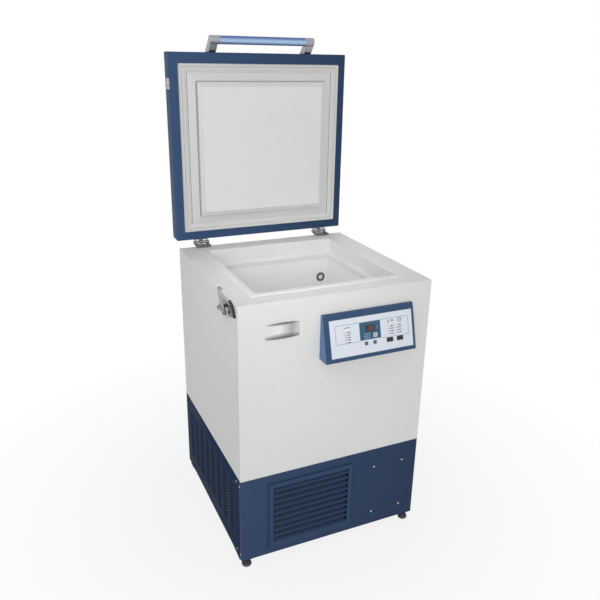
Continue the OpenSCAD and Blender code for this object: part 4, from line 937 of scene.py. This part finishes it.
# %% Display
BLOCK_X, BLOCK_S, BLOCK_T = 0.1015, 0.0584, 0.0008
WINDOW_S = BLOCK_S + 0.0385
softened("display_overlay", teal_overlay, 0.0003)
glass = [plate("glass", BLOCK_X, WINDOW_S, 0.0338, 0.0228, 0.001, 0.0005, -0.016, dark_window),
         plate("brim", BLOCK_X, WINDOW_S, 0.0385, 0.0232, 0.0014, BLOCK_T + 0.0004, 0.0002, dark_window)]
joined("display_glass", glass, dark_window, hides="display_window")
BARS = {"1": "bc", "2": "abged", "3": "abgcd", "4": "fgbc", "5": "afgcd", "6": "afgedc", "8": "abcdefg",
        "-": "g"}
PLACES = {"a": (0, 1, 1), "b": (0.5, 0.5, 0), "c": (0.5, -0.5, 0), "d": (0, -1, 1), "e": (-0.5, -0.5, 0),
          "f": (-0.5, 0.5, 0), "g": (0, 0, 1)}


def digits(text, x, s, tall, stroke, out, depth, finish, step=0.85):
    """Seven-bar digits centred on a point of the face."""
    made = []
    for n, figure in enumerate(text):
        shift = (n - (len(text) - 1) / 2) * tall * step
        for bar in BARS[figure]:
            u, v, flat = PLACES[bar]
            w, h = (tall * 0.42, stroke) if flat else (stroke, tall * 0.42)
            made.append(plate("bar", x + shift + u * tall * 0.5, s + v * tall / 2, w, h, stroke * 0.3,
                              out, out - depth, finish, ease=depth * 0.3, corner=1))
    return made


lit = digits("-86", BLOCK_X, WINDOW_S, 0.0120, 0.0022, BLOCK_T + 0.0006, 0.0004, digit_glow, 0.92)
joined("display_digits", lit, digit_glow)
print(len(lit), "bars lit")

# %% Keys and rockers
LEFT_X, RIGHT_X, SET_X, KEY_S, SET_S, FLANGE = 0.0835, 0.1175, 0.1205, 0.046, 0.0714, -0.0024
keys = (("left", LEFT_X, KEY_S, 0.012, 0.0018, teal_key), ("right", RIGHT_X, KEY_S, 0.012, 0.0018, teal_key),
        ("set", SET_X, SET_S, 0.015, 0.0026, pale_key))
for side, x, s, w, out, finish in keys:
    cap = [(0.0018, -0.0040), (0.0018, FLANGE), (0, FLANGE)]
    cap += fillet([(0, FLANGE), (0, out), (-w / 3, out)], [0, 0.0010, 0], 4, closed=False)
    sweep(side + "_key_cap", around(w / 2, w / 2, 0.0016, cap), finish, side + "_button", seated(x, s),
          (True, True), hides=side + "_key")
spot = [(0, 0.0022), (0.0012, 0.0021), (0.0018, 0.0017), (0.0018, 0.0010)]
for x, body in ((LEFT_X, "left_button"), (RIGHT_X, "right_button")):
    turned(body + "_dot", spot, on_face(x, KEY_S, 0), OUTWARD, red_lamp, body, sides=20)
rim = fillet([(0, -0.004), (0, 0.0007), (0.0024, 0.0007), (0.0024, -0.0002)], [0, 0.0003, 0.0005, 0], 3,
             closed=False)
for x, node in ((0.1775, "left_rocker"), (0.2185, "right_rocker")):
    softened(node, black_plastic, 0.0006)
    sweep(node + "_bezel", around(0.0133, 0.0083, 0.0008, rim), face_plastic, place=seated(x, KEY_S))
print(len(keys), "keys and 2 rockers")

# %% [markdown]
# ## Lamps and printed marks
# The face carries small lamps in three columns and thin blue guide lines. The marks beside them
# are plain numbers and dashes. Ink could be a picture laid on the face, but here it has a
# thickness of a tenth of a millimetre, enough to be a real surface that keeps crisp edges.

# %% Lamps and print
INK = 0.00012
ABOVE = BLOCK_T + INK


def dash(x, s, w, h, finish, top=INK, base=-INK, r=0.0001, corner=1):
    return plate("dash", x, s, w, h, r, top, base, finish, ease=INK / 2, corner=corner)


columns = [(FACE_X - 0.107, [0.060 + 0.0085 * k for k in range(5)]),
           (FACE_X + 0.063, [0.066 + 0.009 * k for k in range(4)]),
           (FACE_X + 0.094, [0.066 + 0.009 * k for k in range(4)])]
dome = [(0, 0.0006), (0.0008, 0.0004), (0.0012, -0.0002), (0.0012, -0.002)]
lamps, marks = [], []
for x, rows in columns:
    for k, s in enumerate(rows):
        lamps.append(turned("lamp", dome, on_face(x, s, 0), OUTWARD, unlit_lamp, sides=16))
        marks += digits(str(len(rows) - k), x + 0.0062, s, 0.0044, 0.0014, INK, 2 * INK, print_dark)
        marks.append(dash(x + 0.0168, s, 0.0125, 0.0028, print_dark))
joined("lamp_row", lamps, unlit_lamp, hides="indicator_lamps")
loose = [(0.003 + 0.0068 * k, 0.1105, 0.0046, 0.0030) for k in range(4)]
loose += [(0.1754, 0.1105, 0.0030, 0.0122), (0.1906, 0.1120, 0.0084, 0.0044)]
loose += [(0.2209 + u * 0.0056, 0.1108, 0.0015, 0.0135) for u in (-1, 1)]
loose += [(0.2209, 0.1108 + v * 0.0062, 0.0112, 0.0015) for v in (-1, 0, 1)]
joined("lamp_numbers", marks + [dash(*mark, print_dark) for mark in loose], print_dark)
EDGE_L, EDGE_R, LOWER, UPPER, LINE = -0.0318, 0.2548, 0.0565, 0.1209, 0.0014
lines = [((end + break_at) / 2, s, abs(break_at - end), LINE) for end, break_at in
         ((EDGE_L, 0.0600), (EDGE_R, 0.1430)) for s in (LOWER, UPPER)]
lines += [(x, (LOWER + UPPER) / 2, LINE, UPPER - LOWER - LINE) for x in (EDGE_L, EDGE_R)]
joined("guide_lines", [dash(*line, print_blue) for line in lines], print_blue)
pale, dark = [], []
for s in (0.0638, 0.0711, 0.0784):
    for x, w in ((0.0800, 0.0070), (0.0885, 0.0060), (0.0965, 0.0060)):
        pale.append(dash(x, s, w, 0.0026, print_pale, ABOVE, 0))
    dark.append(dash(0.0722, s, 0.0026, 0.0026, print_dark, ABOVE, 0, 0.0012, 3))
pale += [dash(0.1290, WINDOW_S + v, 0.0050, 0.0012, print_pale, ABOVE, 0) for v in (-0.0032, 0.0032)]
joined("block_marks", pale, print_pale)
joined("block_dots", dark, print_dark)
glyph = digits("2", SET_X, SET_S, 0.0070, 0.0016, 0.0027, 0.0003, print_dark)
joined("set_key_mark", glyph, print_dark, "set_button")
print(len(lamps), "lamps and", len(marks) + len(loose), "dark marks")

# %% [markdown]
# ## The bare badge plate
# A thin blank plate of satin metal sits below the opening, on the front. Its upper and lower
# edges are shallow arcs, so one outline from the front gives it. Its finish is brushed, with a
# broad painted sheen and painted shade in its colour, darker towards its lower edge and at its top
# edge, since a bare plate would mirror only the empty room.

# %% Badge
low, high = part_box("badge_plate")
BOW, STEPS = 0.0042, 12


def badge_painted_sheen():
    skin = Finish("badge_metal", (0.5, 0.5, 0.51, 1), Metallic=1.0)
    across = (skin.axis(0) - low.x) / (high.x - low.x)
    up = (skin.axis(2) - low.z) / (high.z - low.z)
    bow = (across * 2 - 1) * (across * 2 - 1) * 0.10
    blur = skin.noise(60, 2.0, stretch=(0.3, 1, 1)) * 0.05
    sheen = skin.ramp(across + blur, (0.05, 0.85), (0.45, 0.95), (0.8, 0.42), (0.97, 0.62))
    shade = skin.ramp(up + bow + blur, (0.12, 0.10), (0.30, 0.60), (0.42, 1.0))
    top = skin.ramp(up - bow, (0.80, 1.0), (0.93, 0.16))
    light = sheen * shade * top
    lines = skin.noise(700, 3.0, 0.7, (0.02, 1, 1))
    skin.surface(Base_Color=skin.blend(light, (0.10, 0.10, 0.11, 1), (0.86, 0.86, 0.87, 1)))
    skin.surface(Roughness=0.22 + lines * 0.1)
    skin.relief(lines, 0.00001)
    return skin.material


rim = [(low.x + (high.x - low.x) * k / STEPS, high.z - BOW * (2 * k / STEPS - 1) ** 2)
       for k in range(STEPS + 1)]
rim += [(x, low.z + high.z - z) for x, z in reversed(rim)]
# The plate's colour carries a painted sheen and painted shade.
prism("badge_bowed_plate", rim, low.y, high.y, from_front, badge_painted_sheen(),
      hides="badge_plate", bevel=0.0007, crease=40)
print("badge bows by", BOW * 1000, "mm")

# %% [markdown]
# ## The lid's tray
# The lid is a blue steel tray, seen open, so its inner side faces the front. The skin runs from
# the hidden edge under the pan, over the front face, round each long edge and on to the back,
# where a shallow pressed field stiffens it. One sweep of rounded rectangles covers all of it.

# %% Lid tray
lid_low, lid_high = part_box("lid_shell")
LID_Y, LID_Z, THICK = lid_low.y, (lid_low.z + lid_high.z) / 2, lid_high.y - lid_low.y
PAN_Z, PRESSED = LID_Z - 0.0025, 0.0022


def on_lid(centre):
    """Heights grow out of the lid's inner face, towards the front while it stands open."""
    return lambda x, z, h: (x, LID_Y - h, centre + z)


skin = fillet([(-0.080, -0.010), (-0.080, 0), (0, 0), (0, -THICK), (-0.030, -THICK),
               (-0.0345, -THICK + PRESSED), (-0.12, -THICK + PRESSED)],
              [0, 0.001, 0.0032, 0.0045, 0.002, 0.002, 0], 5, closed=False)
sweep("lid_tray", around(lid_high.x, (lid_high.z - lid_low.z) / 2, 0.004, skin), lid_paint, "lid",
      on_lid(LID_Z), (False, True), hides="lid_shell")
coat_solid(foam_stuff, "foam_insulation")
print("lid", round(2 * lid_high.x, 3), "by", round(lid_high.z - lid_low.z, 3), "by", round(THICK, 3))

# %% [markdown]
# ## The inner pan and its gasket
# The white pan is vacuum-formed: a border that slopes in from the gasket, a narrow groove, the
# wall of the plug that fills the opening, then a second border round a flat middle. Its corners
# are nearly sharp, so the borders show mitre lines. The gasket is an extrusion with two soft
# ridges, cut at 45 degrees and welded in the corners, and a closed profile swept round the
# rectangle makes it. A core of foam fills the pan.

# %% Pan and gasket
PLUG_A, PLUG_B, PLUG_R = 0.267, 0.256, 0.0035


def on_plug(profile):
    return around(PLUG_A, PLUG_B, PLUG_R, profile, mitred=True)


pan = fillet([(0.0342, -0.0005), (0.0342, 0.0022), (0.0312, 0.0030), (0.0042, 0.0080), (0.0038, -0.0010),
              (0.0006, -0.0010), (0, 0.0235), (-0.0170, 0.0290)],
             [0, 0.0008, 0.0005, 0.0008, 0.0003, 0.0003, 0.0012, 0], 4, closed=False)
sweep("lid_pan", on_plug(pan), pan_plastic, "lid", on_lid(PAN_Z), hides="lid_liner", crease=6)
# The flat middle takes the lighter copy of the pan's plastic, which is painted light.
flat = on_plug([(-0.0166, 0.0290), (-0.0180, 0.0293), (-0.06, 0.0293)])
sweep("lid_pan_flat", flat, pan_middle_lit, "lid", on_lid(PAN_Z), (False, True), crease=6)
low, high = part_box("lid_foam")
core = [(high.x - 0.005, (high.z - low.z) / 2 - 0.005, 0.002, level)
        for level in (LID_Y - high.y + 0.002, -0.003)]
core += on_plug([(0.030, -0.0028), (-0.0030, -0.0020), (-0.004, 0.0220), (-0.019, 0.0270)])
sweep("lid_foam_core", core, foam_stuff, "lid", on_lid(PAN_Z), (True, True), hides="lid_foam")
bead = fillet([(0, 0), (0, 0.0048), (-0.0012, 0.0056), (-0.0016, 0.0100), (-0.0040, 0.0120),
               (-0.0074, 0.0120), (-0.0098, 0.0100), (-0.0100, 0.0056), (-0.0122, 0.0042),
               (-0.0138, 0.0056), (-0.0142, 0.0078), (-0.0165, 0.0090), (-0.0205, 0.0090),
               (-0.0228, 0.0078), (-0.0232, 0.0056), (-0.0250, 0.0048), (-0.0310, 0.0030), (-0.0310, 0)],
              [0, 0.0008, 0.0006, 0.001, 0.001, 0.001, 0.001, 0.0006, 0.0008, 0.0006, 0.001, 0.001,
               0.001, 0.001, 0.0006, 0.0008, 0.0004, 0], 3)
low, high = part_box("lid_gasket")
sweep("lid_gasket_bead", around(high.x, (high.z - low.z) / 2, 0.004, bead, mitred=True), gasket_rubber,
      "lid", on_lid((high.z + low.z) / 2), closed=True, hides="lid_gasket")
print("gasket", round(2 * high.x, 3), "by", round(high.z - low.z, 3))

# %% [markdown]
# ## Hinges and keeper
# Two plated leaf hinges join the lid to the cabinet. Their solids already have the knuckles, so
# eased edges and plated metal finish them, and small screws are added through each leaf. The pins
# and springs stay as solids in zinc.

# %% Hinges
for node, finish in (("cabinet_hinge_leaves", steel), ("lid_hinge_leaves", steel), ("lid_keeper", chrome)):
    softened(node, finish, 0.0006)
coat_solid(zinc, "hinge_pins", "hinge_springs")
HINGE_X, LEAF_Y = 0.268, DEPTH + 0.003
on_cabinet, on_tray = [], []
for side in (-1, 1):
    for k in (-1, 1):
        wide = side * HINGE_X + k * 0.018
        on_cabinet.append(facing((side * HINGE_X + k * 0.008, DEPTH - 0.013, TOP + 0.003), UP, k))
        on_cabinet.append(facing((wide, LEAF_Y, TOP - 0.062), BACK, k * 2))
        on_cabinet.append(facing((wide, LEAF_Y, TOP - 0.034), BACK, k * 3))
        on_tray.append(facing((wide, LID_Y + 0.044, lid_low.z - 0.003), (0, 0, -1), k))
scattered("hinge_screws", pan_screw(0.9), on_cabinet, zinc)
scattered("lid_leaf_screws", pan_screw(0.9), on_tray, zinc, "lid")
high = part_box("lid_keeper")[1]
holders = [facing((-lid_high.x - 0.003, LID_Y + 0.027, z), (-1, 0, 0), z * 40)
           for z in (high.z - 0.008, high.z - 0.028)]
scattered("keeper_screws", pan_screw(0.7), holders, zinc, "lid")
print(len(on_cabinet) + len(on_tray), "hinge screws")

# %% [markdown]
# ## The handle
# A brushed blue tube runs between two brushed metal brackets that lean forward from the lid's
# edge. The tube is turned, each cap is turned with a groove where it meets the tube, and each arm
# is a side outline with thickness. Cap and arm are one casting, so they are joined.

# %% Handle
low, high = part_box("handle_tube")
GRIP = Vector((0, (low.y + high.y) / 2, (low.z + high.z) / 2))
GRIP_L, GRIP_R, CAP_L, HOLLOW = high.x, (high.y - low.y) / 2, 0.039, 0.0128
ALONG = (0.02, 1, 1)


def anodised_painted_reflection():
    """Blue tube with a painted reflection: a light band below dark edges, set by height in its colour."""
    skin = Finish("handle_blue", (0.22, 0.36, 0.62, 1), Metallic=0.35)
    height = (skin.axis(2) - GRIP.z) / GRIP_R
    reflection_band = skin.ramp(height * 0.5 + 0.5 + skin.noise(300, 2.0, stretch=ALONG) * 0.06 - 0.03,
                       (0.02, 0.10), (0.40, 1.0), (0.56, 0.82), (0.80, 0.20), (0.98, 0.0))
    skin.surface(Base_Color=skin.blend(reflection_band, srgb(62, 84, 160), srgb(176, 206, 236)))
    skin.surface(Roughness=0.32 + skin.noise(700, 3.0, 0.7, ALONG) * 0.1)
    skin.relief(skin.noise(600, 3.0, 0.7, ALONG), 0.00001)
    return skin.material


tube = [(HOLLOW, 0), (GRIP_R - 0.0004, 0), (GRIP_R, 0.0004), (GRIP_R, 2 * GRIP_L - 0.0004),
        (GRIP_R - 0.0004, 2 * GRIP_L), (HOLLOW, 2 * GRIP_L)]
# The tube's light band is a painted reflection.
turned("handle_grip", tube, (-GRIP_L, GRIP.y, GRIP.z), RIGHT, anodised_painted_reflection(), "lid", 64, hides="handle_tube")
edge, r = lid_high.z, GRIP_R + 0.0008
cap = fillet([(0.0115, 0), (r - 0.0012, 0), (r, 0.0014), (r, CAP_L), (0, CAP_L)],
             [0, 0.0004, 0.0004, 0.0024, 0], 5, closed=False)
shape = fillet([(LID_Y + 0.0045, edge), (LID_Y + 0.0495, edge), (LID_Y + 0.0495, edge + 0.004),
                (GRIP.y + 0.0105, GRIP.z + 0.0120), (GRIP.y - 0.0155, GRIP.z - 0.0030),
                (LID_Y - 0.0055, edge + 0.008)], [0, 0, 0.002, 0.006, 0.006, 0.010], 4)
castings = []
for side in (-1, 1):
    castings.append(turned("cap", cap, (side * GRIP_L, GRIP.y, GRIP.z), (side, 0, 0), brushed, "lid", 64))
    ends = sorted((side * (GRIP_L + CAP_L - 0.0295), side * (GRIP_L + CAP_L - 0.0005)))
    castings.append(prism("arm", shape, *ends, from_side, brushed, "lid", bevel=0.0016, crease=40))
joined("handle_castings", castings, brushed, "lid", "handle_brackets")
print("handle tube", round(2 * GRIP_L, 3), "long")

# %% [markdown]
# ## The side latch
# The latch is a plated casting on a pivot: broad at the barrel, narrower where its hook turns in
# over the lid's keeper, with a slanting rib on its face. The bracket has two round cheeks for the
# pin. A block in front of it has an eye for a padlock, and a black quarter ring keeps sleeves off.

# %% Latch
low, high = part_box("latch_base")
PIVOT = Vector((-SIDE - 0.016, -0.245, TOP - 0.046))
LEAN, ARM_BACK, ARM_FRONT, HOOK_FRONT, HOOK_REACH = math.radians(6), 0.0215, -0.0228, -0.0005, 0.0100
BARREL, BARREL_L, LUG, LUG_R, LUG_GAP, TAPER = 0.0066, 0.0458, 0.005, 0.009, 0.0233, 0.0010
arm_top = (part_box("latch_arm")[1].z - PIVOT.z - HOOK_REACH * math.sin(LEAN)) / math.cos(LEAN)
BLOCK_SIDES = [(0, 1, 2, 3), (4, 5, 6, 7), (0, 1, 5, 4), (1, 2, 6, 5), (2, 3, 7, 6), (3, 0, 4, 7)]


def on_arm(out, y, up):
    """A point of the arm: out from the side, along it and up from the pivot, before it leans."""
    return (PIVOT.x - out * math.cos(LEAN) - up * math.sin(LEAN), PIVOT.y + y,
            PIVOT.z + up * math.cos(LEAN) - out * math.sin(LEAN))


def slab(name, outline, inner, outer, bevel, taper=(0.0, 0.0)):
    """A block between two levels of the arm. Each level comes in by its taper at the top."""
    points = [on_arm(out - drop * up / arm_top, y, up)
              for out, drop in zip((inner, outer), taper) for y, up in outline]
    return piece(name, points, BLOCK_SIDES, steel, "latch", bevel=bevel)


arm = [(ARM_FRONT, 0), (ARM_BACK, 0), (ARM_BACK, arm_top), (HOOK_FRONT, arm_top)]
hook = oblong(HOOK_FRONT + 0.001, arm_top - 0.0049, ARM_BACK, arm_top)
rib = [(ARM_FRONT + 0.006, 0.010), (ARM_FRONT + 0.0105, 0.010), (HOOK_FRONT + 0.0075, arm_top - 0.008),
       (HOOK_FRONT + 0.004, arm_top - 0.008)]
barrel = [(0.0032, 0), (BARREL - 0.0008, 0), (BARREL, 0.001), (BARREL, BARREL_L - 0.001),
          (BARREL - 0.0008, BARREL_L), (0.0032, BARREL_L), (0.0032, 0)]
parts = [slab("arm", arm, -0.0050, 0.0006, 0.0013, (0.0, TAPER)),
         slab("hook", hook, -HOOK_REACH, -0.0022, 0.0008),
         slab("rib", rib, -0.0004, 0.0014, 0.0006, (TAPER, TAPER)),
         turned("barrel", barrel, (PIVOT.x, PIVOT.y - BARREL_L / 2, PIVOT.z), BACK, steel, "latch")]
joined("latch_arm_cast", parts, steel, "latch", "latch_arm")

rest = oblong(low.y + 0.001, PIVOT.z - 0.0085, high.y, high.z)
parts = [prism("back", rest, -SIDE - 0.003, -SIDE + 0.0001, from_side, steel, bevel=0.0008)]
turns = [math.pi * k / 8 for k in range(1, 8)]
cheek = [(-SIDE - 0.001, PIVOT.z - 0.0088), (PIVOT.x, PIVOT.z - LUG_R)]
cheek += [(PIVOT.x - LUG_R * math.sin(w), PIVOT.z - LUG_R * math.cos(w)) for w in turns]
cheek += [(PIVOT.x, PIVOT.z + LUG_R), (-SIDE - 0.001, PIVOT.z + 0.0088)]
for y in (PIVOT.y - LUG_GAP - LUG, PIVOT.y + LUG_GAP):
    parts.append(prism("cheek", cheek, y, y + LUG, from_front, steel, bevel=0.0007, crease=50))
pin = fillet([(0, 0), (0.0046, 0), (0.0050, 0.0012), (0.0050, 0.0028), (0.0028, 0.003), (0.0028, 0.0605),
              (0, 0.0605)], [0, 0.0008, 0.0006, 0, 0, 0.0006, 0], 3, closed=False)
parts.append(turned("pin", pin, (PIVOT.x, PIVOT.y - 0.0313, PIVOT.z), BACK, steel, sides=28))
joined("latch_bracket", parts, steel, hides="latch_base")
EYE_Y = PIVOT.y - 0.042
block = oblong(-SIDE - 0.001, PIVOT.z - 0.006, -SIDE - 0.014, PIVOT.z + 0.022)
slot = oblong(-SIDE - 0.0115, PIVOT.z + 0.003, -SIDE - 0.0045, PIVOT.z + 0.013)
eye = prism("latch_eye_block", block, EYE_Y - 0.010, EYE_Y + 0.010, from_front, chrome, bevel=0.001)
cut(eye, prism("slot", slot, EYE_Y - 0.012, EYE_Y + 0.012, from_front, chrome))
softened("latch_guard", black_plastic, 0.0008)
print("latch arm", round(arm_top, 3), "tall")

# %% [markdown]
# ## The machinery
# Behind the grille and the slotted rear cover are two compressors, a finned condenser with its
# fan, and copper lines. They keep their solids, since only slots show them, but each has its own
# metal or paint, so a view with a panel removed still reads as real machinery.

# %% Machinery
coat_solid(copper, "evaporator_coil", "refrigerant_pipes")
coat_solid(black_paint, "compressor_first", "compressor_second", "fan_shroud", "expansion_tank")
coat_solid(zinc, "fan_motor", "heat_exchanger", "electrical_box")
coat_solid(fins, "condenser")
coat_solid(black_plastic, "fan_blade", "power_inlet")
bare = [n for n, o in frame["nodes"].items() if not any(s.material for s in o.material_slots)]
print("solids with no material:", bare or "none")

# %% [markdown]
# ## Floor and background
# The floor is plain and pale and keeps the freezer's shadow. Seen by the camera or in a mirror,
# it fades to the white of the background with distance, so no horizon cuts the picture. The fade
# reads the floor's own coordinates, never the camera's.


# %% Floor
def seen(tree):
    """1 for a ray from the camera, a mirror or clear material, and 0 for any other."""
    path = add_node(tree, "LightPath", {}, {})
    rays = [Wire(tree, path.outputs[f"Is {kind} Ray"]) for kind in ("Camera", "Glossy", "Transmission")]
    return (rays[0] + rays[1] + rays[2]).held()


def either(tree, factor, first, second, end):
    """Mixes two shaders and hands the result to a tree's last node."""
    mix = add_node(tree, "MixShader", {}, {0: factor, 1: Wire(tree, first), 2: Wire(tree, second)})
    tree.links.new(mix.outputs[0], tree.nodes[end].inputs["Surface"])


FADE_OVER = 4.0
bpy.ops.mesh.primitive_plane_add(size=24, location=(0, 0, -0.0005))
floor = bpy.context.object
floor.name = "floor"
ground = Finish("floor_paint", (0.72, 0.72, 0.72, 1), Roughness=0.9, Specular_IOR_Level=0.1)
sideways, along = ground.axis(0), ground.axis(1)
distance = (sideways * sideways + along * along) ** 0.5
fade = ground.ramp(distance / FADE_OVER, (0.12, 0.84), (0.4, 1.0))
plain = ground.add("Emission", Color=(1, 1, 1, 1), Strength=1.0)
either(ground.tree, seen(ground.tree) * fade, ground.shader.outputs[0], plain.socket, "Material Output")
floor.data.materials.append(ground.material)
print("floor fades to white over", FADE_OVER, "metres")

# %% World
world = bpy.data.worlds.new("studio")
bpy.context.scene.world = world
world.use_nodes = True
sky = world.node_tree
room = sky.nodes["Background"]
room.inputs["Color"].default_value, room.inputs["Strength"].default_value = (1, 1, 1, 1), 0.44
white = add_node(sky, "Background", {}, {"Color": (1, 1, 1, 1), "Strength": 1.0})
either(sky, seen(sky), room.outputs[0], white.outputs[0], "World Output")
print("world ready")

# %% [markdown]
# ## Light
# Soft, plain studio light: one broad lamp in front and a little to the left, one above, a weak
# one on the right, and a faint narrow one that looks into the chamber. Their strengths add up to
# a level where a colour renders about as it was written, so the part looks right elsewhere too.


# %% Lamps of the studio
def soft_box(name, at, target, size, power, spread=180):
    lamp = bpy.data.lights.new(name, "AREA")
    lamp.shape, lamp.size, lamp.energy, lamp.spread = "SQUARE", size, power, math.radians(spread)
    box = bpy.data.objects.new(name, lamp)
    box.location = at
    box.rotation_euler = (Vector(target) - Vector(at)).to_track_quat("-Z", "Y").to_euler()
    bpy.context.collection.objects.link(box)


soft_box("front_light", (-1.5, -3.6, 1.9), (0, -0.3, 0.8), 1.6, 56)
soft_box("top_light", (-0.7, -0.9, 2.9), (0.1, 0.1, 0.9), 1.0, 2.5)
soft_box("right_light", (3.2, -1.6, 1.8), (0, 0, 0.9), 1.6, 5)
soft_box("well_light", (-0.75, -0.7, 2.1), (0.10, 0.08, 0.80), 0.5, 0.48, 34)
bpy.context.scene.view_settings.view_transform = "Standard"
print(len(bpy.data.lights), "studio lights")
